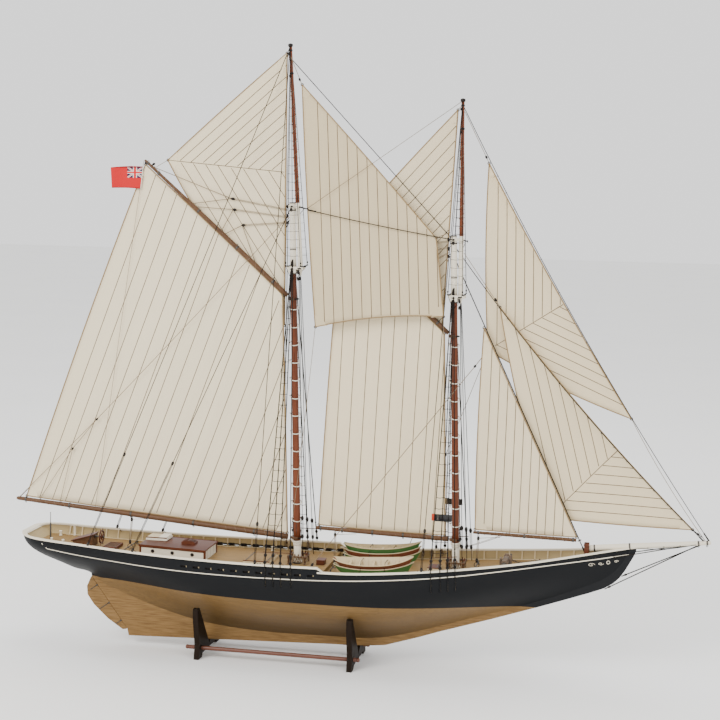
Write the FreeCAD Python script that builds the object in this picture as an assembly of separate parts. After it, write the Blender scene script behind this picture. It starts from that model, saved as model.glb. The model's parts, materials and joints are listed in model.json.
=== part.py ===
"""Model of a two-masted gaff fishing schooner on a wooden display stand.

Own frame: +X towards the bow, +Y to port, +Z up, Z = 0 under the stand feet.
All lengths in millimetres.
"""
import math
import os

import FreeCAD
import Part

V = FreeCAD.Vector

# ---------------------------------------------------------------- driving dimensions
WATERLINE_Z = 78.0
PLANK = 2.2
RAIL_THICK = 1.6
RAIL_WIDTH = 4.4
RAIL_OVERHANG = 0.9
DECK_THICK = 2.0
BULWARK = 11.5
BREAK_X = -21.0
KEEL_HALF = 2.2

MAIN_FOOT = (-57.95, 110.0)
MAIN_RAKE = 0.0315
FORE_FOOT = (122.8, 115.0)
FORE_RAKE = 0.0335
MAIN_CAP_Z = 516.0
FORE_CAP_Z = 484.0
MAIN_TOP_Z = 690.3
FORE_TOP_Z = 632.3
MAIN_TREES_Z = 446.0
FORE_TREES_Z = 420.0
MAST_R = (4.2, 3.3)
TOPMAST_R = (2.8, 1.7)

LINE_R = 0.35
STAY_R = 0.4
SAIL_THICK = 0.6

# hull stations: x, rabbet z, half-breadth at the rail, sheer z, fullness p, hollow q
STATIONS = (
    (-383.5, 104.0, 12.0, 130.0, 2.0, 0.75),
    (-378.0, 102.5, 26.5, 129.6, 2.0, 0.80),
    (-370.0, 100.0, 36.0, 129.0, 2.0, 0.85),
    (-360.0, 97.0, 41.0, 128.0, 2.0, 0.90),
    (-342.0, 91.0, 43.8, 127.0, 2.1, 0.95),
    (-322.0, 84.5, 45.4, 126.0, 2.1, 1.00),
    (-304.0, 79.5, 46.8, 125.2, 2.1, 1.15),
    (-290.0, 62.0, 48.2, 124.6, 2.1, 2.30),
    (-275.0, 42.0, 49.8, 124.0, 2.2, 4.60),
    (-262.0, 25.0, 51.2, 123.5, 2.2, 6.40),
    (-235.0, 18.5, 53.8, 122.6, 2.3, 5.60),
    (-190.0, 19.5, 58.0, 121.4, 2.6, 3.60),
    (-140.0, 20.8, 61.6, 120.8, 2.9, 2.35),
    (-80.0, 22.6, 64.2, 120.8, 3.0, 1.75),
    (-20.0, 24.2, 64.0, 121.4, 3.0, 1.60),
    (40.0, 27.0, 61.4, 119.4, 2.9, 1.62),
    (90.0, 40.0, 56.8, 122.8, 2.7, 1.58),
    (135.0, 55.0, 50.0, 127.0, 2.5, 1.50),
    (175.0, 68.0, 41.8, 131.6, 2.3, 1.42),
    (210.0, 80.0, 32.6, 136.0, 2.1, 1.30),
    (240.0, 91.0, 23.6, 140.6, 1.9, 1.20),
    (265.0, 101.0, 15.8, 144.6, 1.8, 1.10),
    (285.0, 109.0, 9.8, 147.8, 1.7, 1.05),
    (300.0, 119.5, 5.6, 150.0, 1.6, 1.00),
    (312.0, 138.0, 2.4, 152.0, 1.5, 1.00),
)

# top of the cap rail in side view
RAIL_AFT = (
    (-400, 130.4), (-383, 130.0), (-370, 129.0), (-342, 127.0), (-300, 125.0), (-260, 123.2),
    (-220, 121.9), (-180, 121.0), (-140, 120.6), (-90, 120.7), (-50, 121.1), (-10, 121.7),
)
RAIL_FORE = (
    (-40, 117.0), (-21, 116.7), (9, 117.0), (49, 119.2), (89, 122.6), (129, 126.5), (169, 130.9),
    (209, 135.8), (249, 141.8), (279, 146.6), (300, 150.0), (335, 155.2),
)

# keel, stem and sternpost outline in side view
BACKBONE = (
    (-306.0, 92.0), (-304.1, 78.0), (-260.2, 18.1), (-258.4, 9.8), (-112.7, 14.9), (24.4, 19.9),
    (45.7, 22.1), (84.7, 34.6), (107.2, 42.6), (162.8, 60.6), (213.8, 78.0), (239.2, 87.0),
    (270.0, 98.2), (286.2, 104.7), (296.0, 111.0), (302.5, 117.5), (308.2, 126.0), (312.8, 134.6),
    (316.8, 142.0), (319.2, 148.0), (319.6, 151.0),
)

# ---------------------------------------------------------------- helpers


def save(name, solids):
    """Write one node as one or more closed solids."""
    flat = []
    for item in solids:
        flat.extend(item.Solids)
    shape = flat[0] if len(flat) == 1 else Part.makeCompound(flat)
    shape.exportStep("parts/%s.step" % name)


def lerp_table(table, x):
    """Linear value of a table of (x, value) at x."""
    for (xa, va), (xb, vb) in zip(table, table[1:]):
        if x <= xb:
            return va + (vb - va) * (x - xa) / (xb - xa)
    return table[-1][1]


def rail_z(x):
    """Top of the cap rail at x."""
    return lerp_table(RAIL_AFT if x < BREAK_X else RAIL_FORE, x)


def deck_z(x):
    """Top of the deck at x."""
    return rail_z(x) - BULWARK


def main_x(z):
    """Centre of the raked main lower mast at height z."""
    return MAIN_FOOT[0] - MAIN_RAKE * (z - MAIN_FOOT[1])


def fore_x(z):
    """Centre of the raked fore lower mast at height z."""
    return FORE_FOOT[0] - FORE_RAKE * (z - FORE_FOOT[1])


def box(x0, x1, y0, y1, z0, z1):
    """Box between two opposite corners."""
    return Part.makeBox(x1 - x0, y1 - y0, z1 - z0, V(x0, y0, z0))


def rod(p, q, r0, r1=None):
    """Round bar, plain or tapered, from p to q."""
    p = V(*p)
    q = V(*q)
    axis = q - p
    if r1 is None or abs(r1 - r0) < 1e-6:
        return Part.makeCylinder(r0, axis.Length, p, axis)
    return Part.makeCone(r0, r1, axis.Length, p, axis)


def plate(points, y0, y1):
    """Flat plate with an outline in side view, between two Y planes."""
    loop = [V(x, y0, z) for x, z in points]
    loop.append(loop[0])
    return Part.Face(Part.makePolygon(loop)).extrude(V(0, y1 - y0, 0))


def sheet_solid(corners, thick):
    """Thin flat solid through three or four corners in space."""
    pts = [V(*c) for c in corners]
    normal = (pts[1] - pts[0]).cross(pts[2] - pts[0])
    normal.normalize()
    solids = []
    triangles = [(0, 1, 2)] if len(pts) == 3 else [(0, 1, 2), (0, 2, 3)]
    for tri in triangles:
        loop = [pts[i] for i in tri]
        loop.append(loop[0])
        solids.append(Part.Face(Part.makePolygon(loop)).extrude(normal * thick))
    if len(solids) == 1:
        return solids[0]
    return solids[0].fuse(solids[1]).removeSplitter()


def smooth(points):
    """Smooth side-view curve through (x, z) points."""
    curve = Part.BSplineCurve()
    curve.interpolate([V(x, -90, z) for x, z in points])
    return curve.toShape()


def band(table, low, high):
    """Prism across the ship between two offsets of a side-view curve."""
    top = smooth([(x, z + high) for x, z in table])
    bottom = smooth([(x, z + low) for x, z in table])
    xa, za = table[0]
    xb, zb = table[-1]
    end_a = Part.makeLine(V(xa, -90, za + low), V(xa, -90, za + high))
    end_b = Part.makeLine(V(xb, -90, zb + low), V(xb, -90, zb + high))
    wire = Part.Wire(Part.__sortEdges__([top, end_b, bottom, end_a]))
    return Part.Face(wire).extrude(V(0, 180, 0))


def mirrored(shape):
    """The same shape on the other side of the ship."""
    return shape.mirror(V(0, 0, 0), V(0, 1, 0))


def both_sides(shapes):
    """Shapes plus their mirror images."""
    return list(shapes) + [mirrored(s) for s in shapes]


def cut_all(shapes, tools):
    """Each shape with the tool solids taken away, in single solids."""
    tool = Part.makeCompound(tools)
    result = []
    for shape in shapes:
        result.extend(shape.cut(tool).Solids)
    return result


# ---------------------------------------------------------------- hull form
SECTION_POINTS = 11


def station_curve(station, offset):
    """Points (y, z) of one section from the centreline up past the rail."""
    x, z0, half, z1, p, q = station
    raw = []
    count = 48
    for i in range(count + 1):
        h = (i / count) ** 1.5
        raw.append((half * (1.0 - (1.0 - h) ** p) ** q, z0 + (z1 - z0) * h))
    raw.append((half, z1 + 7.0))
    if offset:
        moved = []
        for i, (y, z) in enumerate(raw):
            ya, za = raw[max(i - 1, 0)]
            yb, zb = raw[min(i + 1, len(raw) - 1)]
            length = math.hypot(yb - ya, zb - za)
            y_in = y - offset * (zb - za) / length
            z_in = z + offset * (yb - ya) / length
            if y_in > 0.35 and (not moved or z_in > moved[-1][1]):
                moved.append((y_in, z_in))
        (ya, za), (yb, zb) = moved[0], moved[1]
        slope = (zb - za) / max(yb - ya, 0.02)
        foot = max(za - slope * ya, za - 3.0)
        raw = [(0.0, foot)] + moved
    else:
        raw[0] = (0.0, z0)
    lengths = [0.0]
    for (ya, za), (yb, zb) in zip(raw, raw[1:]):
        lengths.append(lengths[-1] + math.hypot(yb - ya, zb - za))
    points = []
    k = 0
    for i in range(SECTION_POINTS):
        target = lengths[-1] * i / (SECTION_POINTS - 1)
        while k < len(raw) - 2 and lengths[k + 1] < target:
            k += 1
        t = (target - lengths[k]) / (lengths[k + 1] - lengths[k])
        y = raw[k][0] + t * (raw[k + 1][0] - raw[k][0])
        z = raw[k][1] + t * (raw[k + 1][1] - raw[k][1])
        points.append((y, z))
    return points


def section_wire(x, points):
    """Closed section: port side, top line, starboard side."""
    params = [i / (len(points) - 1) for i in range(len(points))]
    port = Part.BSplineCurve()
    port.interpolate(Points=[V(x, y, z) for y, z in points], Parameters=params)
    starboard = Part.BSplineCurve()
    down = list(reversed(points))
    starboard.interpolate(Points=[V(x, -y, z) for y, z in down], Parameters=params)
    top_y, top_z = points[-1]
    top = Part.makeLine(V(x, top_y, top_z), V(x, -top_y, top_z))
    return Part.Wire([port.toShape(), top, starboard.toShape()])


def hull_solid(offset):
    """Solid inside the hull surface moved inwards by an offset, transom cut."""
    wires = []
    for index, station in enumerate(STATIONS):
        x = station[0]
        if offset > 0 and station[2] < offset + 1.5:
            continue
        if index < 2:
            x += offset
        wires.append(section_wire(x, station_curve(station, offset)))
    solid = Part.makeLoft(wires, True, False)
    slope = 36.0 / 37.5
    shift = offset * math.hypot(1.0, slope)
    cutter = [
        (-346.0 + shift, 92.5), (-346.0 + shift - slope * 60, 152.5), (-460, 152.5), (-460, 60),
        (-346.0 + shift + slope * 32.5, 60),
    ]
    return solid.cut(plate(cutter, -90, 90))


def half_breadth(x, z):
    """Half-breadth of the outer hull at a point, between stations."""
    def at(station):
        _, z0, half, z1, p, q = station
        h = min(max((z - z0) / (z1 - z0), 0.0), 1.0)
        return half * (1.0 - (1.0 - h) ** p) ** q
    for a, b in zip(STATIONS, STATIONS[1:]):
        if x <= b[0]:
            t = (x - a[0]) / (b[0] - a[0])
            return at(a) * (1 - t) + at(b) * t
    return 0.0


os.makedirs("parts", exist_ok=True)

# ---------------------------------------------------------------- hull
outer = hull_solid(0.0)
inner = hull_solid(PLANK)
keel_plate = plate(BACKBONE, -KEEL_HALF, KEEL_HALF)
bowsprit = rod((268.0, 0, 147.8), (397.9, 0, 162.3), 3.5, 2.3)

above_aft = band(RAIL_AFT, -RAIL_THICK, 40.0)
above_aft = above_aft.common(box(-400, BREAK_X, -90, 90, 60, 220))
above_fore = band(RAIL_FORE, -RAIL_THICK, 60.0)
above_fore = above_fore.common(box(BREAK_X, 335, -90, 90, 60, 240))
above_rail = above_aft.fuse(above_fore)

backbone = keel_plate.cut(inner).cut(above_rail).cut(bowsprit)
backbone = [s for s in backbone.Solids if s.Volume > 500.0]
shell = outer.cut(inner).cut(above_rail).cut(keel_plate)
ports = []
for i in range(12):
    x = -178.0 + 14.6 * i
    z = deck_z(x + 4.0) + 0.8
    if x < BREAK_X < x + 8.0:
        continue
    ports.append(box(x, x + 7.5, -90, 90, z, z + 2.4))
topsides = shell.common(box(-400, 340, -90, 90, WATERLINE_Z, 200))
topsides = topsides.cut(Part.makeCompound(ports)).cut(bowsprit)
bottom = shell.common(box(-400, 340, -90, 90, 0, WATERLINE_Z))
save("backbone", backbone)
save("topside_planking", [s for s in topsides.Solids if s.Volume > 50.0])
save("bottom_planking", [s for s in bottom.Solids if s.Volume > 50.0])

# cap rail, aft and forward of the break
rail_out = hull_solid(-RAIL_OVERHANG)
rail_in = hull_solid(RAIL_WIDTH - RAIL_OVERHANG)
rail_ring = rail_out.cut(rail_in)
stem_cap = box(296, 321.5, -2.6, 2.6, 140, 160)
rail_aft = rail_ring.common(band(RAIL_AFT, -RAIL_THICK, 0.0)).common(box(-400, BREAK_X, -90, 90, 60, 220))
fore_band = band(RAIL_FORE, -RAIL_THICK, 0.0).common(box(BREAK_X, 335, -90, 90, 60, 220))
rail_fore = rail_ring.fuse(stem_cap).common(fore_band).cut(bowsprit)
save("cap_rail", [rail_aft] + [s for s in rail_fore.Solids if s.Volume > 20.0])

# decks
deck_aft = inner.common(band(RAIL_AFT, -BULWARK - DECK_THICK, -BULWARK))
deck_aft = deck_aft.common(box(-400, BREAK_X, -90, 90, 60, 220))
deck_fore = inner.common(band(RAIL_FORE, -BULWARK - DECK_THICK, -BULWARK))
deck_fore = deck_fore.common(box(BREAK_X, 335, -90, 90, 60, 220))
riser = inner.common(box(BREAK_X - 2.0, BREAK_X, -90, 90, deck_z(-20) - 3.0, deck_z(-22) - DECK_THICK))
main_foot = rod((main_x(60), 0, 60), (main_x(150), 0, 150), MAST_R[0])
fore_foot = rod((fore_x(60), 0, 60), (fore_x(150), 0, 150), MAST_R[0])
deck_aft = deck_aft.cut(main_foot).cut(backbone[0])
deck_fore = deck_fore.cut(fore_foot).cut(backbone[0])
save("quarter_deck", [s for s in deck_aft.Solids if s.Volume > 50.0] + [riser.cut(deck_aft)])
save("main_deck", [s for s in deck_fore.Solids if s.Volume > 50.0])

# inner bulkheads
under_aft = band(RAIL_AFT, -BULWARK - DECK_THICK - 120.0, -BULWARK - DECK_THICK)
under_aft = under_aft.common(box(-400, BREAK_X - 2.0, -90, 90, 0, 220))
under_fore = band(RAIL_FORE, -BULWARK - DECK_THICK - 120.0, -BULWARK - DECK_THICK)
under_fore = under_fore.common(box(BREAK_X, 335, -90, 90, 0, 220))
bulkheads = []
for x in (-330, -250, -180, -110, -40, 30, 100, 170, 235):
    below = under_aft if x < BREAK_X else under_fore
    web = inner.common(box(x, x + 3.0, -90, 90, 0, 200)).common(below)
    web = web.cut(Part.makeCompound(backbone)).cut(main_foot).cut(fore_foot)
    bulkheads.extend(s for s in web.Solids if s.Volume > 50.0)
save("bulkheads", bulkheads)

# ---------------------------------------------------------------- stand
FOOT_Y = 42.0
keel_slot = plate(BACKBONE, -KEEL_HALF - 0.4, KEEL_HALF + 0.4)
CRADLE_X = (-167.0, 9.0)
rod_z = 11.0
rods = [rod((-180, y, rod_z), (22, y, rod_z), 2.4) for y in (-30.0, 30.0)]
for name, x in zip(("cradle_aft", "cradle_fore"), CRADLE_X):
    outline = [
        (-FOOT_Y, 0), (-FOOT_Y + 12, 0), (-FOOT_Y + 15, 4), (FOOT_Y - 15, 4), (FOOT_Y - 12, 0),
        (FOOT_Y, 0), (FOOT_Y - 3, 16), (46, 46), (46.5, 60), (40, 60), (0, 8), (-40, 60),
        (-46.5, 60), (-46, 46), (-FOOT_Y + 3, 16),
    ]
    loop = [V(x, y, z) for y, z in outline]
    loop.append(loop[0])
    cradle = Part.Face(Part.makePolygon(loop)).extrude(V(6, 0, 0))
    cradle = cradle.cut(hull_solid(-0.3)).cut(keel_slot)
    cradle = cradle.cut(Part.makeCompound(rods))
    save(name, [max(cradle.Solids, key=lambda s: s.Volume)])
save("stand_rods", rods)

# ---------------------------------------------------------------- deck fittings
deck_solids = [s for s in deck_aft.Solids + deck_fore.Solids if s.Volume > 50.0]


def on_deck(shape):
    """A fitting cut off where it meets the deck."""
    pieces = shape.cut(Part.makeCompound(deck_solids)).Solids
    largest = max(s.Volume for s in pieces)
    pieces = [s for s in pieces if s.Volume > 0.1 * largest]
    return max(pieces, key=lambda s: s.CenterOfMass.z)


CABIN_X = (-237.0, -161.0)
CABIN_Y = 24.0
cabin_side = [(CABIN_X[0], 104), (CABIN_X[0], 122.76), (CABIN_X[1], 120.56), (CABIN_X[1], 104)]
cabin = plate(cabin_side, -CABIN_Y, CABIN_Y)
cabin_room = [
    (CABIN_X[0] + 1.5, 100), (CABIN_X[0] + 1.5, 130),
    (CABIN_X[1] - 1.5, 130), (CABIN_X[1] - 1.5, 100),
]
cabin = cabin.cut(plate(cabin_room, -CABIN_Y + 1.5, CABIN_Y - 1.5))

roof_side = [
    (CABIN_X[0] - 1.4, 122.84), (CABIN_X[0] - 1.4, 124.5),
    (CABIN_X[1] + 1.4, 122.3), (CABIN_X[1] + 1.4, 120.56),
]
cabin_roof = plate(roof_side, -CABIN_Y - 1.4, CABIN_Y + 1.4)
wheel_side = [(-325, 108), (-325, 119.4), (-301, 126.6), (-301, 108)]
wheel_case = on_deck(plate(wheel_side, -9, 9))
wheel_roof = plate([(-327, 118.85), (-327, 120.2), (-299.6, 128.4), (-299.6, 127.1)], -10.2, 10.2)
wheel_roof = wheel_roof.cut(wheel_case)
save("roofs", [cabin_roof, wheel_roof])

AXLE = (-301.0, 124.3)
axle = rod((AXLE[0], 0, AXLE[1]), (-290.8, 0, AXLE[1]), 0.8)
axle_end = rod((-290.8, 0, AXLE[1]), (-289.8, 0, AXLE[1]), 1.4)
save("wheel_box", [wheel_case.fuse(axle).fuse(axle_end).removeSplitter()])

skylight_outline = [(-194, 120), (-194, 126.4), (-186, 127.4), (-178, 126.0), (-178, 120)]
skylight = plate(skylight_outline, -6, 6).cut(cabin_roof)
skylight = max(skylight.Solids, key=lambda s: s.BoundBox.ZMax)
hatch_grating = on_deck(box(-287, -271, -13, 13, 110, 116.2))
hatch_main = on_deck(box(-117, -86, -20, 20, 106, 113.2))
box_fore = on_deck(box(-35, -26, -6, 6, 106, 115.5))
hatch_fore = on_deck(box(92, 106, -9, 9, 106, 116.0))
save("hatches", [skylight, hatch_grating, hatch_main, box_fore, hatch_fore])

companion = box(-238, -213, -2, 20, 120, 129).cut(cabin_roof)
companion = max(companion.Solids, key=lambda s: s.BoundBox.ZMax)
save("cabin_walls", [on_deck(cabin), companion])

portholes = []
for x, z in ((-222.3, 117.6), (-199.0, 116.9), (-175.4, 116.3)):
    ring = Part.makeCylinder(1.9, 0.7, V(x, CABIN_Y, z), V(0, 1, 0))
    portholes.append(ring)
save("portholes", both_sides(portholes))

posts = []
for x, y, h in ((-354.0, 26.0, 6.0), (-340.0, 35.0, 13.0), (-318.0, 37.0, 5.0), (-100.0, 50.0, 5.0)):
    z = deck_z(x)
    posts.append(on_deck(rod((x, y, z - 1.5), (x, y, z + h), 1.4)))
posts = both_sides(posts)
stern_staff = rod((-356, 0, 112), (-356, 0, 138), 1.1)
stern_staff = stern_staff.fuse(rod((-356, 0, 137.5), (-356, 0, 150.5), 0.5))
posts.append(on_deck(stern_staff))
samson = on_deck(box(263.4, 268.8, -3, 3, 128, 152.5)).cut(bowsprit)
posts.append(max(samson.Solids, key=lambda s: s.Volume))
save("deck_posts", posts)

# fife rails round the mast feet, and the sheet horses
fife = []
for cx, half_x, half_y in ((-57.0, 9.5, 9.5), (123.0, 9.0, 9.0)):
    z = deck_z(cx)
    legs = [
        rod((cx + sx * half_x, sy * half_y, z - 3), (cx + sx * half_x, sy * half_y, z + 8), 1.0)
        for sx in (-1, 1) for sy in (-1, 1)
    ]
    ring = box(cx - half_x - 1.6, cx + half_x + 1.6, -half_y - 1.6, half_y + 1.6, z + 8, z + 9.6)
    ring = ring.cut(box(cx - half_x + 1.4, cx + half_x - 1.4, -half_y + 1.4, half_y - 1.4, z, z + 20))
    frame = ring.multiFuse(legs).removeSplitter()
    fife.append(on_deck(frame))
save("fife_rails", fife)

HORSES = ((-258.0, 27.0), (-15.0, 22.0), (146.0, 20.0))
HORSE_R = 0.6
HORSE_LIFT = 4.0
horses = []
for x, y in HORSES:
    z = deck_z(x)
    bar = rod((x, -y, z + HORSE_LIFT), (x, y, z + HORSE_LIFT), HORSE_R)
    legs = [rod((x, sy * y, z - 2), (x, sy * y, z + HORSE_LIFT + 0.8), 1.0) for sy in (-1, 1)]
    horses.append(on_deck(bar.multiFuse(legs).removeSplitter()))
save("sheet_horses", horses)

# steering wheel
WHEEL_X = -292.8
WHEEL_R = 7.4
wheel = Part.makeTorus(WHEEL_R, 0.8, V(WHEEL_X, 0, AXLE[1]), V(1, 0, 0))
wheel_parts = [rod((WHEEL_X - 1.4, 0, AXLE[1]), (WHEEL_X + 1.4, 0, AXLE[1]), 2.0)]
for i in range(8):
    a = math.radians(22.5 + 45.0 * i)
    tip = (WHEEL_X, 10.2 * math.cos(a), AXLE[1] + 10.2 * math.sin(a))
    wheel_parts.append(rod((WHEEL_X, 0, AXLE[1]), tip, 0.5))
wheel = wheel.multiFuse(wheel_parts).removeSplitter()
wheel = wheel.cut(rod((-300, 0, AXLE[1]), (-280, 0, AXLE[1]), 0.85))
save("steering_wheel", [wheel])

# windlass
WINDLASS = (178.0, deck_z(178.0) + 6.5)
wx, wz = WINDLASS
frame = []
for sy in (-1, 1):
    y0, y1 = sorted((sy * 14.0, sy * 16.6))
    post = box(wx - 3.5, wx + 3.5, y0, y1, wz - 9, wz + 5)
    frame.append(on_deck(post.cut(rod((wx, -30, wz), (wx, 30, wz), 1.55))))
save("windlass_posts", frame)
barrel = [rod((wx, -13.7, wz), (wx, 13.7, wz), 3.4), rod((wx, -19.5, wz), (wx, 19.5, wz), 1.5)]
barrel += [rod((wx, sy * 17.0, wz), (wx, sy * 21.5, wz), 3.0, 2.2) for sy in (-1, 1)]
for i in range(8):
    whelp = box(wx - 0.5, wx + 0.5, -12.5, 12.5, wz + 3.0, wz + 4.2)
    whelp.rotate(V(wx, 0, wz), V(0, 1, 0), 45.0 * i)
    barrel.append(whelp)
save("windlass_barrel", [barrel[0].multiFuse(barrel[1:]).removeSplitter()])

# anchors lying on the foredeck
anchors = []
for sy in (-1, 1):
    za = deck_z(212) + 1.4
    zb = deck_z(236) + 1.4
    shank = rod((212, sy * 17, za), (236, sy * 12, zb), 0.8)
    arms = [
        rod((236, sy * 12, zb), (230, sy * 5.0, deck_z(230) + 1.5), 0.8, 0.5),
        rod((236, sy * 12, zb), (232, sy * 19.0, deck_z(232) + 1.5), 0.8, 0.5),
        rod((214, sy * 10, deck_z(214) + 1.5), (214, sy * 23, deck_z(214) + 1.5), 0.7),
    ]
    anchors.append(on_deck(shank.multiFuse(arms).removeSplitter()))
save("anchors", anchors)

# ---------------------------------------------------------------- nested dories
DORY_TILT = 3.4


def dory_skin(shrink, top_extra):
    """Solid inside one dory skin, bow towards +X, bottom at z = 0."""
    wires = []
    for x, bottom, top, z0, z1 in (
        (-44.5, 1.2, 2.6, 4.4, 13.2), (-37.0, 3.6, 6.4, 1.4, 11.0), (-20.0, 6.4, 10.6, 0.3, 9.0),
        (0.0, 7.2, 12.0, 0.0, 8.4), (20.0, 6.2, 10.6, 0.3, 9.2), (37.0, 2.6, 5.4, 1.6, 12.0),
        (45.5, 0.9, 1.2, 4.6, 15.0),
    ):
        bottom = max(bottom - shrink, 0.3)
        top = max(top - shrink, 0.35)
        flare = (top - bottom) / (z1 - z0)
        z0 += shrink
        top += flare * top_extra
        z1 += top_extra
        loop = [V(x, -bottom, z0), V(x, bottom, z0), V(x, top, z1), V(x, -top, z1)]
        loop.append(loop[0])
        wires.append(Part.makePolygon(loop))
    return Part.makeLoft(wires, True, True)


dory = dory_skin(0.0, 0.0).cut(dory_skin(0.8, 2.0).common(box(-41.5, 41.5, -20, 20, -1, 30)))
dory_sides = dory_skin(0.1, 0.0)
thwarts = []
for x in (-15.0, 15.0):
    thwart = box(x - 1.5, x + 1.5, -15, 15, 4.6, 5.5)
    thwarts.append(thwart.common(dory_sides))
dory = dory.multiFuse(thwarts).removeSplitter()
lower_dories = []
upper_dories = []
for y, tiers in ((-27.0, 2), (27.0, 3)):
    below = None
    for tier in range(tiers):
        copy = dory.copy()
        copy.rotate(V(0, 0, 0), V(0, 1, 0), -DORY_TILT)
        z = deck_z(35.0) + 1.2 + 5.55 * tier
        copy.translate(V(35.0, y, z))
        if below is not None:
            copy = max(copy.cut(below).Solids, key=lambda s: s.Volume)
        below = copy
        (upper_dories if tier == tiers - 1 else lower_dories).append(copy)
save("dories_lower", lower_dories)
save("dories_upper", upper_dories)
chocks = []
for y in (-27.0, 27.0):
    for x in (17.0, 53.0):
        block = box(x - 2, x + 2, y - 6, y + 6, deck_z(x) - 3, deck_z(x) + 6)
        block = on_deck(block).cut(Part.makeCompound(lower_dories))
        low = min(block.Solids, key=lambda s: s.BoundBox.ZMin)
        cap = box(x - 3, x + 3, y - 8, y + 8, deck_z(x) + 1.0, 200)
        chocks.append(min(low.cut(cap).Solids, key=lambda s: s.BoundBox.ZMin))
save("dory_chocks", chocks)

# ---------------------------------------------------------------- masts
main_lower = rod((main_x(92), 0, 92), (main_x(MAIN_CAP_Z), 0, MAIN_CAP_Z), *MAST_R)
fore_lower = rod((fore_x(92), 0, 92), (fore_x(FORE_CAP_Z), 0, FORE_CAP_Z), *MAST_R)
save("lower_masts", [main_lower, fore_lower])
MAIN_HEEL = (main_x(MAIN_TREES_Z) + 8.2, MAIN_TREES_Z)
FORE_HEEL = (fore_x(FORE_TREES_Z) + 7.2, FORE_TREES_Z)
MAIN_TRUCK = (-75.8, MAIN_TOP_Z)
FORE_TRUCK = (116.4, FORE_TOP_Z)
main_top = rod((MAIN_HEEL[0], 0, MAIN_HEEL[1]), (MAIN_TRUCK[0], 0, MAIN_TRUCK[1]), *TOPMAST_R)
fore_top = rod((FORE_HEEL[0], 0, FORE_HEEL[1]), (FORE_TRUCK[0], 0, FORE_TRUCK[1]), *TOPMAST_R)
save("topmasts", [main_top, fore_top])
mast_solids = [main_lower, fore_lower, main_top, fore_top]


def along(p, q, z):
    """X on the side-view line p-q at height z."""
    return p[0] + (q[0] - p[0]) * (z - p[1]) / (q[1] - p[1])


mast_tops = []
TREE_SPREAD = 17.0
CRANE_TIP = (-50.5, -11.4, 509.6)
for lower_x, heel, truck, cap_z in (
    (main_x, MAIN_HEEL, MAIN_TRUCK, MAIN_CAP_Z), (fore_x, FORE_HEEL, FORE_TRUCK, FORE_CAP_Z),
):
    z = heel[1]
    x_low = lower_x(z)
    rails = [box(x_low - 6, x_low + 12.5, y_low, y_low + 1.6, z - 4, z) for y_low in (3.9, -5.5)]
    cross = [rod((x, -TREE_SPREAD, z), (x, TREE_SPREAD, z), 0.8) for x in (x_low - 4.8, heel[0] + 3.9)]
    fid = [box(heel[0] - 2.6, heel[0] + 2.6, -4.5, 4.5, z - 4, z)]
    bolster = [box(x_low - 4.8, x_low + 4.8, -4.2, 4.2, z - 3.4, z - 0.6)]
    trees = rails[0].multiFuse(rails[1:] + cross + fid + bolster)
    mast_tops.extend(s for s in cut_all([trees], mast_solids) if s.Volume > 50.0)
    top_x = along(heel, truck, cap_z)
    cap = box(lower_x(cap_z) - 4.6, top_x + 4.6, -4.6, 4.6, cap_z - 5.5, cap_z - 2.5)
    ears = rod((lower_x(cap_z) + 1.0, -8.8, cap_z - 4), (lower_x(cap_z) + 1.0, 8.8, cap_z - 4), 0.8)
    irons = [ears]
    if lower_x is main_x:
        irons.append(rod((top_x, 0, cap_z - 4.0), CRANE_TIP, 0.7))
    mast_tops.extend(s for s in cut_all([cap.multiFuse(irons)], mast_solids) if s.Volume > 50.0)
save("mast_tops", mast_tops)

hoops = []
for lower_x, z0, count in ((main_x, 160.0, 13), (fore_x, 165.0, 11)):
    for i in range(count):
        z = z0 + 20.0 * i
        hoops.append(rod((lower_x(z), 0, z), (lower_x(z + 1.0), 0, z + 1.0), 5.1))
save("mast_hoops", cut_all(hoops, mast_solids[:2]))

save("bowsprit", [bowsprit])

# ---------------------------------------------------------------- standing rigging
deadeyes = []
shrouds = []
chainplates = []
SHROUD_SETS = (
    (main_x, MAIN_TREES_Z + 5.0, -59.0, (-20.5, -11.7, -3.0, 8.5)),
    (fore_x, FORE_TREES_Z + 5.0, 122.0, (-19.5, -9.5, -1.5, 6.5)),
)


def reach_y(solid, x, z):
    """How far to port a hull solid reaches at x and height z."""
    probe = Part.makeLine(V(x, 0, z), V(x, 90, z))
    return solid.common(probe).BoundBox.YMax


for lower_x, top_z, foot_x, offsets in SHROUD_SETS:
    for k, dx in enumerate(offsets):
        x = foot_x + dx
        z = rail_z(x)
        y = reach_y(rail_out, x, z - 0.8) + 1.0
        foot = V(x, y, z + 0.8)
        head = V(lower_x(top_z) - 1.0 + 0.4 * k, 3.2, top_z + 0.8 * k)
        lean = head - foot
        lean.normalize()
        up = foot + lean * 10.5
        axis = V(0, 1, 0).sub(lean * lean.y)
        axis.normalize()
        lower_eye = Part.makeCylinder(1.5, 1.4, foot + lean * 2.2 - axis * 0.7, axis)
        upper_eye = Part.makeCylinder(1.5, 1.4, up - axis * 0.7, axis)
        lanyard = rod(tuple(foot + lean * 2.2), tuple(up), 0.5)
        eye = lower_eye.multiFuse([upper_eye, lanyard]).removeSplitter()
        deadeyes.append(eye)
        shrouds.append(rod(tuple(up), tuple(head), LINE_R).cut(eye))
        bend = (x, reach_y(outer, x, z - 12.0) + 1.0, z - 12.0)
        low = (x, reach_y(outer, x, z - 24.0) + 1.0, z - 24.0)
        strap = rod((x, y, z + 2.6), bend, 0.55)
        strap = strap.multiFuse([rod(bend, low, 0.55), Part.makeSphere(0.55, V(*bend))])
        chainplates.append(strap.removeSplitter().cut(eye))
rail_solids = [rail_aft] + rail_fore.Solids
chainplates = both_sides(chainplates)
deadeyes = both_sides(deadeyes)
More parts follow.
